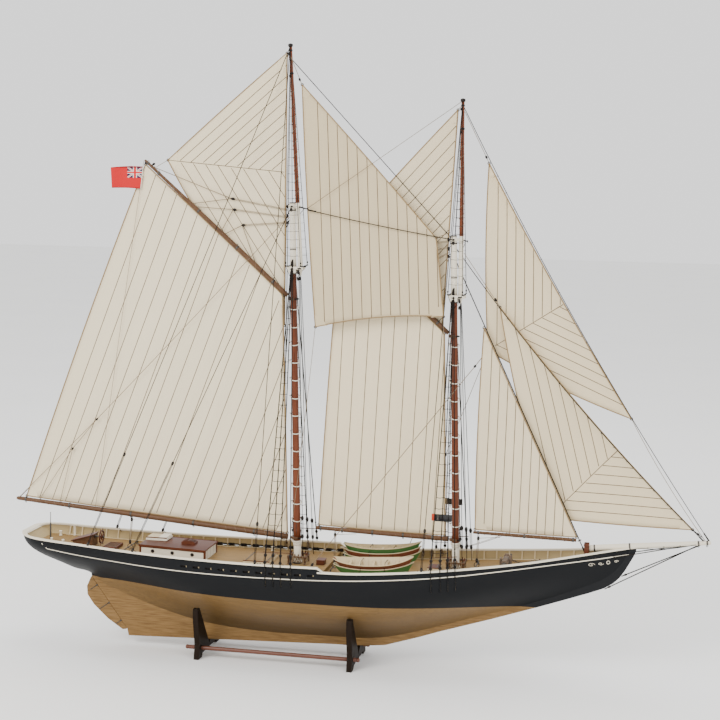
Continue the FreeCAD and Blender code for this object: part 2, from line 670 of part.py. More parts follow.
shrouds = cut_all(both_sides(shrouds), mast_solids + mast_tops)
save("chainplates", chainplates)
save("deadeyes", deadeyes)
save("shrouds", [s for s in shrouds if s.Volume > 5.0])

top_shrouds = []
for heel, truck, low_x in ((MAIN_HEEL, MAIN_TRUCK, main_x), (FORE_HEEL, FORE_TRUCK, fore_x)):
    z = heel[1]
    head_z = truck[1] - 8.0
    head_x = along(heel, truck, head_z)
    for x in (low_x(z) - 4.8, heel[0] + 3.9):
        top_shrouds.append(rod((x, TREE_SPREAD - 0.8, z), (head_x, 1.0, head_z), 0.3))
top_shrouds = cut_all(both_sides(top_shrouds), mast_solids + mast_tops)
save("topmast_shrouds", [s for s in top_shrouds if s.Volume > 5.0])


def sagging(p, q, sag, radius, steps=6):
    """Line from p to q hanging by sag at the middle, as one solid."""
    p = V(*p)
    q = V(*q)
    chord = q - p
    down = V(0, 1, 0).cross(chord)
    down.normalize()
    if down.z > 0:
        down = down * -1.0
    shares = [i / steps for i in range(steps + 1)]
    pts = [p + chord * t + down * (4.0 * sag * t * (1.0 - t)) for t in shares]
    parts = [rod(tuple(a), tuple(b), radius) for a, b in zip(pts, pts[1:])]
    parts += [Part.makeSphere(radius, a) for a in pts[1:-1]]
    return parts[0].multiFuse(parts[1:]).removeSplitter()


JUMBO_STAY = ((fore_x(455.0) + 3.0, 0, 455.0), (264.42, 0, 142.5))
JIB_STAY = ((fore_x(470.0) + 3.0, 0, 470.0), (391.5, 0, 162.2))
TOP_STAY = ((117.0, 0, 624.0), (396.5, 0, 163.0))
stays = [
    rod(*JUMBO_STAY, STAY_R),
    sagging(*JIB_STAY, 9.0, STAY_R),
    sagging(*TOP_STAY, 9.0, STAY_R),
]
headstays = cut_all(stays, mast_solids + mast_tops + [bowsprit] + posts)
save("headstays", [s for s in headstays if s.Volume > 20.0])
main_top_x = along(MAIN_HEEL, MAIN_TRUCK, 672.0)
mast_stays = [
    rod((main_top_x, -1.2, 672.0), (108.0, -2.8, FORE_CAP_Z - 2.0), STAY_R),
    rod((CRANE_TIP[0], CRANE_TIP[1], 508.7), (109.8, -8.8, 480.2), STAY_R),
    rod((CRANE_TIP[0], CRANE_TIP[1], 510.6), (115.5, -0.8, 628.6), 0.3),
]
mast_stays = cut_all(mast_stays, mast_solids + mast_tops)
save("mast_stays", [s for s in mast_stays if s.Volume > 20.0])

bobstays = [
    rod((391.0, 0, 161.0), (304.6, 0, 119.0), STAY_R),
    rod((388.0, 0, 160.6), (287.0, 0, 103.5), STAY_R),
]
for sy in (-1, 1):
    y = sy * (half_breadth(296.0, 141.0) + 1.2)
    bobstays.append(rod((390.0, 0, 161.5), (296.0, y, 141.0), STAY_R))
bobstays[1] = bobstays[1].cut(bobstays[0])
bobstays = cut_all(bobstays, [bowsprit] + backbone)
save("bobstays", [s for s in bobstays if s.Volume > 10.0])

# running backstays: wire, block, three-part tackle to a block on the rail
backstays = []
runner_blocks = []
for head, foot_x, share in (
    ((along(MAIN_HEEL, MAIN_TRUCK, 686.0), 1.0, 686.0), -291.0, 0.815),
    ((main_x(512.0) + 1.0, 8.6, 512.0), -236.0, 0.745),
    ((along(MAIN_HEEL, MAIN_TRUCK, 688.8), 1.0, 688.8), -91.5, 0.926),
    ((along(FORE_HEEL, FORE_TRUCK, 630.8), 1.0, 630.8), 92.5, 0.917),
):
    foot = V(foot_x, half_breadth(foot_x, 200.0) - 0.5, rail_z(foot_x) + 2.2)
    top = V(*head)
    mid = top + (foot - top) * share
    line = foot - top
    line.normalize()
    upper = rod(tuple(mid - line * 2.2), tuple(mid + line * 2.2), 1.3)
    lower = rod(tuple(foot - line * 2.2), tuple(foot + line * 2.0), 1.3)
    runner_blocks += [upper, lower]
    backstays.append(rod(tuple(top), tuple(mid), LINE_R).cut(upper))
    for side in (-0.75, 0.75):
        shift = V(side, 0, 0)
        backstays.append(rod(tuple(mid + shift), tuple(foot + shift), 0.25).cut(upper).cut(lower))
runner_blocks = cut_all(both_sides(runner_blocks), rail_solids)
backstays = cut_all(both_sides(backstays), mast_solids + mast_tops)
save("runner_blocks", [s for s in runner_blocks if s.Volume > 3.0])
save("backstays", [s for s in backstays if s.Volume > 3.0])

# halyards down the front of each lower mast, each with its tackle block
halyards = []
for lower_x, trees_z in ((main_x, MAIN_TREES_Z), (fore_x, FORE_TREES_Z)):
    base = lower_x(130.0)
    z = deck_z(base) + 9.6
    for k, y in enumerate((-4.6, 0.0, 4.6)):
        top = (lower_x(trees_z) + 7.5, y * 0.9, trees_z - 4.0)
        foot = (base + 9.2, y * 1.5, z - 0.2)
        line = rod(foot, top, 0.3)
        direction = V(*top) - V(*foot)
        direction.normalize()
        start = V(*foot) + direction * (24.0 + 3.0 * k)
        block = rod(tuple(start), tuple(start + direction * 4.0), 1.2)
        low = V(*foot) + direction * 4.0
        block_low = rod(tuple(low), tuple(low + direction * 3.6), 1.1)
        halyards.append(line.multiFuse([block, block_low]).removeSplitter())
halyards = cut_all(halyards, mast_tops + fife + mast_solids)
save("halyards", [s for s in halyards if s.Volume > 10.0])

# side-light boards on the fore shrouds
boards = []
for sy in (-1, 1):
    y0, y1 = sorted((sy * 43.8, sy * 45.2))
    boards.append(box(100.8, 122.8, y0, y1, 177.9, 184.9))
board_tools = [s for s in shrouds if s.Volume > 5.0]
boards = [b.cut(Part.makeCompound(board_tools)) for b in boards]
save("side_lights", [max(b.Solids, key=lambda s: s.Volume) for b in boards])

# ---------------------------------------------------------------- moving booms


def jaw(lower_x, z, mast_r, thick):
    """Jaw ring open at the front, turning round the mast with clearance."""
    p = V(lower_x(z - thick / 2), 0, z - thick / 2)
    q = V(lower_x(z + thick / 2), 0, z + thick / 2)
    ring = rod(tuple(p), tuple(q), mast_r + 3.2)
    ring = ring.cut(rod(tuple(p - (q - p)), tuple(q + (q - p)), mast_r + 0.45))
    return ring.cut(box(lower_x(z) + 1.6, lower_x(z) + 20, -20, 20, z - 20, z + 20))


def mast_radius(z, cap_z):
    """Radius of a lower mast at height z."""
    return MAST_R[0] + (MAST_R[1] - MAST_R[0]) * (z - 92.0) / (cap_z - 92.0)


def spar_with_jaw(lower_x, cap_z, jaw_z, start, end, r0, r1):
    """Boom or gaff fused with its jaw."""
    radius = mast_radius(jaw_z, cap_z)
    bore = rod((lower_x(jaw_z - 20), 0, jaw_z - 20), (lower_x(jaw_z + 20), 0, jaw_z + 20), radius + 0.45)
    run = V(*end) - V(*start)
    run.normalize()
    neck = V(*start) + run * 9.0
    stub = rod(start, tuple(neck), r0).cut(bore)
    body = rod(tuple(neck), end, r0, r1)
    return jaw(lower_x, jaw_z, radius, 3.0).multiFuse([stub, body]).removeSplitter()


main_boom = spar_with_jaw(main_x, MAIN_CAP_Z, 138.8, (-64.5, 0, 138.8), (-397.9, 0, 164.3), 3.2, 2.2)
main_gaff = spar_with_jaw(main_x, MAIN_CAP_Z, 409.5, (-72.0, 0, 410.7), (-242.4, 0, 560.4), 2.5, 1.5)
fore_boom = spar_with_jaw(fore_x, FORE_CAP_Z, 148.0, (116.5, 0, 148.0), (-37.3, 0, 151.5), 2.7, 2.0)
fore_gaff = spar_with_jaw(fore_x, FORE_CAP_Z, 374.5, (109.6, 0, 375.7), (-15.2, 0, 489.0), 2.3, 1.4)

mainsail = sheet_solid(
    [(-70.5, -0.3, 143.5), (-385.3, -0.3, 167.6), (-241.5, -0.3, 555.4), (-80.3, -0.3, 413.6)],
    SAIL_THICK,
)
foresail = sheet_solid(
    [(109.6, -0.3, 152.2), (-34.0, -0.3, 155.2), (-14.8, -0.3, 484.2), (103.0, -0.3, 377.2)],
    SAIL_THICK,
)
main_topsail = sheet_solid([(-79.6, 0.8, 679.5), (-216.4, 3.6, 560.8), (-78.6, 3.8, 379.0)], SAIL_THICK)
fore_topsail = sheet_solid([(111.2, 0.8, 619.5), (-10.5, 3.4, 485.3), (98.4, 4.0, 352.0)], SAIL_THICK)
ensign = sheet_solid(
    [(-243.6, -1.25, 552.9), (-281.4, -1.25, 551.4), (-279.8, -1.25, 528.6), (-246.4, -1.25, 528.2)],
    SAIL_THICK,
)


def sheet_tackle(boom_point, horse_x, boom):
    """Boom sheet: two parts down to a block that rides on a horse."""
    z = deck_z(horse_x) + HORSE_LIFT
    eye = Part.makeTorus(2.8, 0.45, V(horse_x, 0, z), V(0, 1, 0))
    block = rod((horse_x, 0, z + 2.7), (horse_x, 0, z + 6.7), 1.4)
    bx, bz = boom_point
    falls = [rod((horse_x + s, 0, z + 4.0), (bx + s, 0, bz), 0.3) for s in (-0.8, 0.8)]
    return eye.multiFuse([block] + falls).removeSplitter().cut(boom)


main_sheet = sheet_tackle((-256.0, 153.6), HORSES[0][0], main_boom)
fore_sheet = sheet_tackle((-15.0, 151.0), HORSES[1][0], fore_boom)
main_sheet = max(main_sheet.Solids, key=lambda s: s.Volume)
fore_sheet = max(fore_sheet.Solids, key=lambda s: s.Volume)

main_lines = []
mx = main_x(506.0) - 5.0
for z_top, end in ((508.0, (-232.0, 0, 551.3)), (500.0, (-170.0, 0, 496.8)), (494.0, (-126.0, 0, 458.1))):
    main_lines.append(rod((main_x(z_top) - 5.0, 0, z_top), end, 0.3))
lift_d = (-297.9, 262.8)
lift_a = (-327.5, 226.9)
for y_top, y_low in ((-2.4, -3.0), (6.6, 3.4)):
    top = (main_x(500.0) - 4.9, y_top, 500.0)
    mid = (lift_d[0], y_low, lift_d[1])
    low = (lift_a[0], y_low, lift_a[1])
    y_end = math.copysign(1.9, y_low)
    block_d = Part.makeSphere(1.5, V(*mid))
    block_a = Part.makeSphere(1.4, V(*low))
    split = math.copysign(0.75, y_low)
    legs = [
        rod(top, mid, 0.3),
        rod((mid[0], y_low + split, mid[2]), (-395.0, y_end + split, 164.8), 0.3),
        rod(mid, low, 0.3),
        rod((low[0], y_low + split, low[2]), (-370.0, y_end + split, 162.8), 0.3),
        rod(low, (-344.0, y_end, 161.0), 0.3),
    ]
    main_lines += [block_d, block_a]
    main_lines += [leg.cut(block_d).cut(block_a) for leg in legs]
flag_line = rod((-242.9, -2.2, 559.9), (-300.0, -2.2, 157.5), 0.25)
main_lines.append(flag_line)
main_lines = cut_all(main_lines, [main_boom, main_gaff])
main_lines = [s for s in main_lines if s.Volume > 3.0]

fore_lines = []
for z_top, end in ((478.0, (-9.0, 0, 483.4)), (472.0, (24.0, 0, 453.4)), (466.0, (60.0, 0, 420.7))):
    fore_lines.append(rod((fore_x(z_top) - 5.0, 0, z_top), end, 0.3))
for y_top, y_low in ((-2.2, -2.4), (6.4, 3.0)):
    top = (fore_x(462.0) - 4.9, y_top, 462.0)
    fore_lines.append(rod(top, (-30.0, math.copysign(1.8, y_low), 152.4), 0.3))
fore_lines = cut_all(fore_lines, [fore_boom, fore_gaff])
fore_lines = [s for s in fore_lines if s.Volume > 5.0]

save("main_boom", [main_boom])
save("main_gaff", [main_gaff])
save("mainsail", [mainsail])
save("main_topsail", [main_topsail])
save("ensign", [ensign])
save("main_lines", main_lines + [main_sheet])
save("fore_boom", [fore_boom])
save("fore_gaff", [fore_gaff])
save("foresail", [foresail])
save("fore_topsail", [fore_topsail])
save("fore_lines", fore_lines + [fore_sheet])

# jumbo boom on the forestay
JUMBO_Z = 155.8
stay_x = along((JUMBO_STAY[0][0], JUMBO_STAY[0][2]), (JUMBO_STAY[1][0], JUMBO_STAY[1][2]), JUMBO_Z)
stay_axis = V(JUMBO_STAY[1][0] - JUMBO_STAY[0][0], 0, JUMBO_STAY[1][2] - JUMBO_STAY[0][2])
stay_ring = Part.makeTorus(1.7, 0.6, V(stay_x, 0, JUMBO_Z), stay_axis)
jumbo_spar = rod((stay_x - 1.9, 0, JUMBO_Z), (141.0, 0, 157.5), 1.9, 1.6)
stay_bore = rod(*JUMBO_STAY, 1.1)
jumbo_boom = jumbo_spar.fuse(stay_ring).cut(stay_bore).removeSplitter()
jumbo_boom = max(jumbo_boom.Solids, key=lambda s: s.Volume)
jumbo_sheet = sheet_tackle((147.0, 157.4), HORSES[2][0], jumbo_boom)
jumbo_sheet = max(jumbo_sheet.Solids, key=lambda s: s.Volume)
jumbo_sail = sheet_solid([(146.5, -0.3, 385.0), (254.8, -0.3, 159.4), (143.2, -0.3, 161.0)], SAIL_THICK)
save("jumbo_boom", [jumbo_boom])
save("jumbo_sheet", [jumbo_sheet])
save("jumbo_sail", [jumbo_sail])

# sails set flying between the masts and on the headstays
fisherman = sheet_solid(
    [(-60.9, -3.5, 645.0), (92.0, -7.0, 481.3), (103.1, -11.5, 396.4), (-39.2, -13.0, 380.1)],
    SAIL_THICK,
)
jib = sheet_solid([(163.0, 0.6, 408.0), (378.0, 0.6, 175.2), (223.0, 7.5, 177.5)], SAIL_THICK)
jib_topsail = sheet_solid([(146.5, 0.8, 563.0), (308.5, 1.0, 292.4), (150.5, 8.5, 359.7)], SAIL_THICK)
save("fisherman", [fisherman])
save("jib", [jib])
save("jib_topsail", [jib_topsail])

# ---------------------------------------------------------------- rudder
RUDDER_LOW = V(-261.6, 0, 17.1)
RUDDER_TOP = V(-304.9, 0, 76.3)
stock = rod(tuple(RUDDER_LOW), tuple(RUDDER_TOP), 1.3)
BLADE = (
    (-305.4, 76.4), (-310.4, 64.9), (-309.6, 54.9), (-301.8, 43.8), (-284.5, 28.1),
    (-266.5, 16.4), (-262.0, 16.8),
)
blade = plate(list(BLADE), -1.2, 1.2)
save("rudder", [stock.fuse(blade).removeSplitter()])
print("all nodes written")
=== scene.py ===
"""Model sailing ship: the visual model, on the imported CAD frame.

Metres in the scene; lengths in this script are millimetres until a piece is made.
+X is towards the bow, +Y to port, +Z up, and Z = 0 is under the stand's feet.
"""
import json
import math
import random

import bpy
from mathutils import Matrix, Vector
from mathutils.bvhtree import BVHTree


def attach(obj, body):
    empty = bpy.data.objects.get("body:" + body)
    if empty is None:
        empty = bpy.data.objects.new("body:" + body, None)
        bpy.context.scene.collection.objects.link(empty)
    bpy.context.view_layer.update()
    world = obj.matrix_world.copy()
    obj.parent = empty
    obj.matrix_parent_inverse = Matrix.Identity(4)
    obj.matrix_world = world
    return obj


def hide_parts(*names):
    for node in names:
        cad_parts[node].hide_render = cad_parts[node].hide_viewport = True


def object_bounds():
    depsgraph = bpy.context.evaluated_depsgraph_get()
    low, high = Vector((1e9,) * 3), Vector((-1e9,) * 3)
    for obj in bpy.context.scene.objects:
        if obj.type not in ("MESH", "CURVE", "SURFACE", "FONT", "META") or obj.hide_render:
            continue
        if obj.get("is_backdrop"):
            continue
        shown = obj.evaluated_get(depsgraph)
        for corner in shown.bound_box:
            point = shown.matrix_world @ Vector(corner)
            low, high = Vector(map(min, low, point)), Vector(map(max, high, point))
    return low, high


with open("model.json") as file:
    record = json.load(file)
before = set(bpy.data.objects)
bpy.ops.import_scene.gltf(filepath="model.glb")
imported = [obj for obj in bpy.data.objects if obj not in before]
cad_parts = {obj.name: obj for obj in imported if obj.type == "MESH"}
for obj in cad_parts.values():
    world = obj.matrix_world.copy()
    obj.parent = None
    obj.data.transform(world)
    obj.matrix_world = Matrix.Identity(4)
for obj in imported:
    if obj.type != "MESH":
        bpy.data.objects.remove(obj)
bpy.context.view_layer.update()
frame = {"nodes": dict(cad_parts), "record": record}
MM = 0.001

# ---------------------------------------------------------------- dimensions of the ship
WATERLINE_Z = 78.0
BOTTOM_DEPTH = 75.0
COUNTER_X = -345.0
BULWARK = 11.5
BREAK_X = -21.0
MAIN_FOOT = (-57.95, 110.0)
MAIN_RAKE = 0.0315
FORE_FOOT = (122.8, 115.0)
FORE_RAKE = 0.0335
MAIN_CAP_Z = 516.0
FORE_CAP_Z = 484.0
MAIN_TREES_Z = 446.0
FORE_TREES_Z = 420.0
MAIN_TRUCK = (-75.8, 690.3)
FORE_TRUCK = (116.4, 632.3)
MAST_R = (4.2, 3.3)
TOPMAST_R = (2.8, 1.7)
TREE_SPREAD = 17.0

# hull stations: x, rabbet z, half-breadth at the rail, sheer z, fullness p, hollow q
STATIONS = (
    (-383.5, 104.0, 12.0, 130.0, 2.0, 0.75),
    (-378.0, 102.5, 26.5, 129.6, 2.0, 0.80),
    (-370.0, 100.0, 36.0, 129.0, 2.0, 0.85),
    (-360.0, 97.0, 41.0, 128.0, 2.0, 0.90),
    (-342.0, 91.0, 43.8, 127.0, 2.1, 0.95),
    (-322.0, 84.5, 45.4, 126.0, 2.1, 1.00),
    (-304.0, 79.5, 46.8, 125.2, 2.1, 1.15),
    (-290.0, 62.0, 48.2, 124.6, 2.1, 2.30),
    (-275.0, 42.0, 49.8, 124.0, 2.2, 4.60),
    (-262.0, 25.0, 51.2, 123.5, 2.2, 6.40),
    (-235.0, 18.5, 53.8, 122.6, 2.3, 5.60),
    (-190.0, 19.5, 58.0, 121.4, 2.6, 3.60),
    (-140.0, 20.8, 61.6, 120.8, 2.9, 2.35),
    (-80.0, 22.6, 64.2, 120.8, 3.0, 1.75),
    (-20.0, 24.2, 64.0, 121.4, 3.0, 1.60),
    (40.0, 27.0, 61.4, 119.4, 2.9, 1.62),
    (90.0, 40.0, 56.8, 122.8, 2.7, 1.58),
    (135.0, 55.0, 50.0, 127.0, 2.5, 1.50),
    (175.0, 68.0, 41.8, 131.6, 2.3, 1.42),
    (210.0, 80.0, 32.6, 136.0, 2.1, 1.30),
    (240.0, 91.0, 23.6, 140.6, 1.9, 1.20),
    (265.0, 101.0, 15.8, 144.6, 1.8, 1.10),
    (285.0, 109.0, 9.8, 147.8, 1.7, 1.05),
    (300.0, 119.5, 5.6, 150.0, 1.6, 1.00),
    (312.0, 138.0, 2.4, 152.0, 1.5, 1.00),
)
RAIL_AFT = (
    (-400, 130.4), (-383, 130.0), (-370, 129.0), (-342, 127.0), (-300, 125.0), (-260, 123.2),
    (-220, 121.9), (-180, 121.0), (-140, 120.6), (-90, 120.7), (-50, 121.1), (-10, 121.7),
)
RAIL_FORE = (
    (-40, 117.0), (-21, 116.7), (9, 117.0), (49, 119.2), (89, 122.6), (129, 126.5), (169, 130.9),
    (209, 135.8), (249, 141.8), (279, 146.6), (300, 150.0), (335, 155.2),
)


def table_value(table, x):
    """Linear value of a table of (x, value) at x."""
    for (xa, va), (xb, vb) in zip(table, table[1:]):
        if x <= xb:
            return va + (vb - va) * (x - xa) / (xb - xa)
    return table[-1][1]


def rail_z(x):
    """Top of the cap rail at x."""
    return table_value(RAIL_AFT if x < BREAK_X else RAIL_FORE, x)


def deck_z(x):
    """Top of the deck at x."""
    return rail_z(x) - BULWARK


def half_breadth(x, z):
    """Half-breadth of the hull's outside at a point."""
    def at(station):
        _, z0, half, z1, p, q = station
        h = min(max((z - z0) / (z1 - z0), 0.0), 1.0)
        return half * (1.0 - (1.0 - h) ** p) ** q
    for a, b in zip(STATIONS, STATIONS[1:]):
        if x <= b[0]:
            t = (x - a[0]) / (b[0] - a[0])
            return at(a) * (1 - t) + at(b) * t
    return 0.0


def main_x(z):
    """Centre of the main lower mast at height z."""
    return MAIN_FOOT[0] - MAIN_RAKE * (z - MAIN_FOOT[1])


def fore_x(z):
    """Centre of the fore lower mast at height z."""
    return FORE_FOOT[0] - FORE_RAKE * (z - FORE_FOOT[1])


MAIN_HEEL = (main_x(MAIN_TREES_Z) + 8.2, MAIN_TREES_Z)
FORE_HEEL = (fore_x(FORE_TREES_Z) + 7.2, FORE_TREES_Z)


def along(p, q, z):
    """X on the side-view line p-q at height z."""
    return p[0] + (q[0] - p[0]) * (z - p[1]) / (q[1] - p[1])


# ---------------------------------------------------------------- mesh making
# the faces of a slab whose corners are listed round one side and then round the other
SLAB_FACES = [(0, 1, 2, 3), (7, 6, 5, 4), (0, 4, 5, 1), (1, 5, 6, 2), (2, 6, 7, 3), (3, 7, 4, 0)]


def square_to(axis):
    """Two directions square to an axis and to each other."""
    side = axis.cross(Vector((0, 1, 0)))
    if side.length < 0.1:
        side = axis.cross(Vector((1, 0, 0)))
    side.normalize()
    return side, axis.cross(side)


class Piece:
    """Faces of one piece, gathered in millimetres and then made into an object."""

    def __init__(self):
        self.verts = []
        self.faces = []
        self.mats = []
        self.flat = []

    def add(self, verts, faces, mat=0, flat=False):
        base = len(self.verts)
        self.verts.extend(tuple(v) for v in verts)
        for face in faces:
            self.faces.append(tuple(base + i for i in face))
            self.mats.append(mat)
            self.flat.append(flat)

    def tube(self, points, radius, sides=6, mat=0, squash=None, closed=False):
        """Round bar along points; radius may be a list; squash is (direction, factor)."""
        pts = [Vector(p) for p in points]
        n = len(pts)
        radii = list(radius) if hasattr(radius, "__len__") else [radius] * n
        verts = []
        side = None
        for i, p in enumerate(pts):
            if closed:
                tangent = pts[(i + 1) % n] - pts[i - 1]
            else:
                tangent = pts[min(i + 1, n - 1)] - pts[max(i - 1, 0)]
            tangent.normalize()
            if side is None:
                side = tangent.cross(Vector((0, 1, 0)))
                if side.length < 0.1:
                    side = tangent.cross(Vector((1, 0, 0)))
            side = side - tangent * side.dot(tangent)
            side.normalize()
            other = tangent.cross(side)
            for k in range(sides):
                a = 2 * math.pi * (k + 0.5) / sides
                offset = side * math.cos(a) + other * math.sin(a)
                if squash:
                    axis = Vector(squash[0])
                    offset = offset + axis * offset.dot(axis) * (squash[1] - 1.0)
                verts.append(p + offset * radii[i])
        faces = []
        for i in range(n if closed else n - 1):
            j = (i + 1) % n
            for k in range(sides):
                m = (k + 1) % sides
                faces.append((i * sides + k, i * sides + m, j * sides + m, j * sides + k))
        if not closed:
            faces.append(tuple(range(sides - 1, -1, -1)))
            faces.append(tuple((n - 1) * sides + k for k in range(sides)))
        self.add(verts, faces, mat)

    def lathe(self, origin, axis, profile, sides=16, mat=0):
        """Turned form: profile is (distance along the axis, radius)."""
        origin = Vector(origin)
        axis = Vector(axis).normalized()
        side, other = square_to(axis)
        verts = []
        for d, r in profile:
            for k in range(sides):
                a = 2 * math.pi * k / sides
                verts.append(origin + axis * d + (side * math.cos(a) + other * math.sin(a)) * max(r, 0.01))
        faces = []
        for i in range(len(profile) - 1):
            for k in range(sides):
                m = (k + 1) % sides
                faces.append((i * sides + k, i * sides + m, (i + 1) * sides + m, (i + 1) * sides + k))
        faces.append(tuple(range(sides - 1, -1, -1)))
        faces.append(tuple((len(profile) - 1) * sides + k for k in range(sides)))
        self.add(verts, faces, mat)

    def ball(self, centre, r, mat=0, stretch=1.0, axis=(0, 0, 1), sides=10):
        """Rounded block or bead, longer along its axis by the stretch."""
        rows = 6
        profile = []
        for i in range(rows + 1):
            a = math.pi * i / rows
            profile.append((-math.cos(a) * r * stretch, math.sin(a) * r))
        self.lathe(centre, axis, profile, sides, mat)

    def block(self, centre, axis, size=2.2, mat=0, strap=None):
        """Rigging block: a rounded shell, and a strap round it."""
        s = size
        profile = [
            (-1.25 * s, 0.15 * s), (-1.15 * s, 0.42 * s), (-0.8 * s, 0.68 * s), (-0.3 * s, 0.8 * s),
            (0.3 * s, 0.8 * s), (0.8 * s, 0.68 * s), (1.15 * s, 0.42 * s), (1.25 * s, 0.15 * s),
        ]
        self.lathe(centre, axis, profile, 10, mat)
        if strap is not None:
            c = Vector(centre)
            a = Vector(axis).normalized()
            self.lathe(
                c, a,
                [(-0.16 * s, 0.83 * s), (-0.1 * s, 0.9 * s), (0.1 * s, 0.9 * s), (0.16 * s, 0.83 * s)],
                10, strap
            )

    def ring(self, centre, axis, big, small, mat=0, n=20, m=6, height=None):
        """Ring with a round or, with a height, a flat section."""
        centre = Vector(centre)
        axis = Vector(axis).normalized()
        side, other = square_to(axis)
        tall = small if height is None else height
        verts = []
        for i in range(n):
            a = 2 * math.pi * i / n
            out = side * math.cos(a) + other * math.sin(a)
            for k in range(m):
                b = 2 * math.pi * (k + 0.5) / m
                verts.append(centre + out * (big + small * math.cos(b)) + axis * tall * math.sin(b))
        faces = []
        for i in range(n):
            j = (i + 1) % n
            for k in range(m):
                l = (k + 1) % m
                faces.append((i * m + k, j * m + k, j * m + l, i * m + l))
        self.add(verts, faces, mat)

    def box(self, low, high, mat=0, bevel=0.3, turn=None):
        """Box with its edges eased; turn is an optional matrix in millimetres."""
        x0, y0, z0 = low
        x1, y1, z1 = high
        b = min(bevel, (x1 - x0) / 3, (y1 - y0) / 3, (z1 - z0) / 3)
        verts = []
        index = {}
        for i, (xa, xb) in enumerate(((x0, x0 + b), (x1, x1 - b))):
            for j, (ya, yb) in enumerate(((y0, y0 + b), (y1, y1 - b))):
                for k, (za, zb) in enumerate(((z0, z0 + b), (z1, z1 - b))):
                    for axis, v in enumerate(((xa, yb, zb), (xb, ya, zb), (xb, yb, za))):
                        index[i, j, k, axis] = len(verts)
                        verts.append(v)
        faces = []
        for s in (0, 1):
            faces.append([index[s, j, k, 0] for j, k in ((0, 0), (1, 0), (1, 1), (0, 1))])
            faces.append([index[j, s, k, 1] for j, k in ((0, 0), (1, 0), (1, 1), (0, 1))])
            faces.append([index[j, k, s, 2] for j, k in ((0, 0), (1, 0), (1, 1), (0, 1))])
        for a in (0, 1):
            for c in (0, 1):
                faces.append([index[a, c, 0, 0], index[a, c, 0, 1], index[a, c, 1, 1], index[a, c, 1, 0]])
                faces.append([index[a, 0, c, 0], index[a, 0, c, 2], index[a, 1, c, 2], index[a, 1, c, 0]])
                faces.append([index[0, a, c, 1], index[0, a, c, 2], index[1, a, c, 2], index[1, a, c, 1]])
                for k in (0, 1):
                    faces.append([index[a, c, k, 0], index[a, c, k, 1], index[a, c, k, 2]])
        centre = Vector(((x0 + x1) / 2, (y0 + y1) / 2, (z0 + z1) / 2))
        fixed = []
        for face in faces:
            p = [Vector(verts[i]) for i in face]
            middle = sum(p, Vector()) / len(p)
            normal = (p[1] - p[0]).cross(p[2] - p[0])
            fixed.append(face if normal.dot(middle - centre) > 0 else face[::-1])
        if turn is not None:
            verts = [turn @ Vector(v) for v in verts]
        self.add(verts, fixed, mat, flat=True)

    def prism(self, outline, y0, y1, mat=0):
        """Flat plate with a side-view outline of (x, z), between two Y planes."""
        n = len(outline)
        verts = [(x, y0, z) for x, z in outline] + [(x, y1, z) for x, z in outline]
        faces = [tuple(range(n)), tuple(range(2 * n - 1, n - 1, -1))]
        for i in range(n):
            j = (i + 1) % n
            faces.append((i, i + n, j + n, j))
        area = sum(
            outline[i][0] * outline[(i + 1) % n][1] - outline[(i + 1) % n][0] * outline[i][1]
            for i in range(n)
        )
        if area < 0:
            faces = [f[::-1] for f in faces]
        self.add(verts, faces, mat, flat=True)

    def strip(self, rows, mat=0, flat=False, closed=False):
        """Surface through rows of points."""
        width = len(rows[0])
        verts = [p for row in rows for p in row]
        faces = []
        for i in range(len(rows) - 1):
            for k in range(width if closed else width - 1):
                m = (k + 1) % width
                faces.append((i * width + k, i * width + m, (i + 1) * width + m, (i + 1) * width + k))
        self.add(verts, faces, mat, flat)

    def make(self, name, body, materials, slot=None, replaces=(), bevel=0.0, thicken=0.0):
        """The object, riding on its body."""
        mesh = bpy.data.meshes.new(name)
        mesh.from_pydata([(x * MM, y * MM, z * MM) for x, y, z in self.verts], [], self.faces)
        mesh.polygons.foreach_set("material_index", self.mats)
        mesh.polygons.foreach_set("use_smooth", [not f for f in self.flat])
        mesh.validate()
        for material in materials:
            mesh.materials.append(material)
        obj = bpy.data.objects.new(name, mesh)
        bpy.context.scene.collection.objects.link(obj)
        if bevel:
            mod = obj.modifiers.new("Bevel", "BEVEL")
            mod.width = bevel * MM
            mod.segments = 2
            mod.limit_method = "ANGLE"
        if thicken:
            mod = obj.modifiers.new("Thickness", "SOLIDIFY")
            mod.thickness = thicken * MM
            mod.offset = 0.0
        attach(obj, body)
        if replaces:
            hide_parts(*replaces)
        return obj


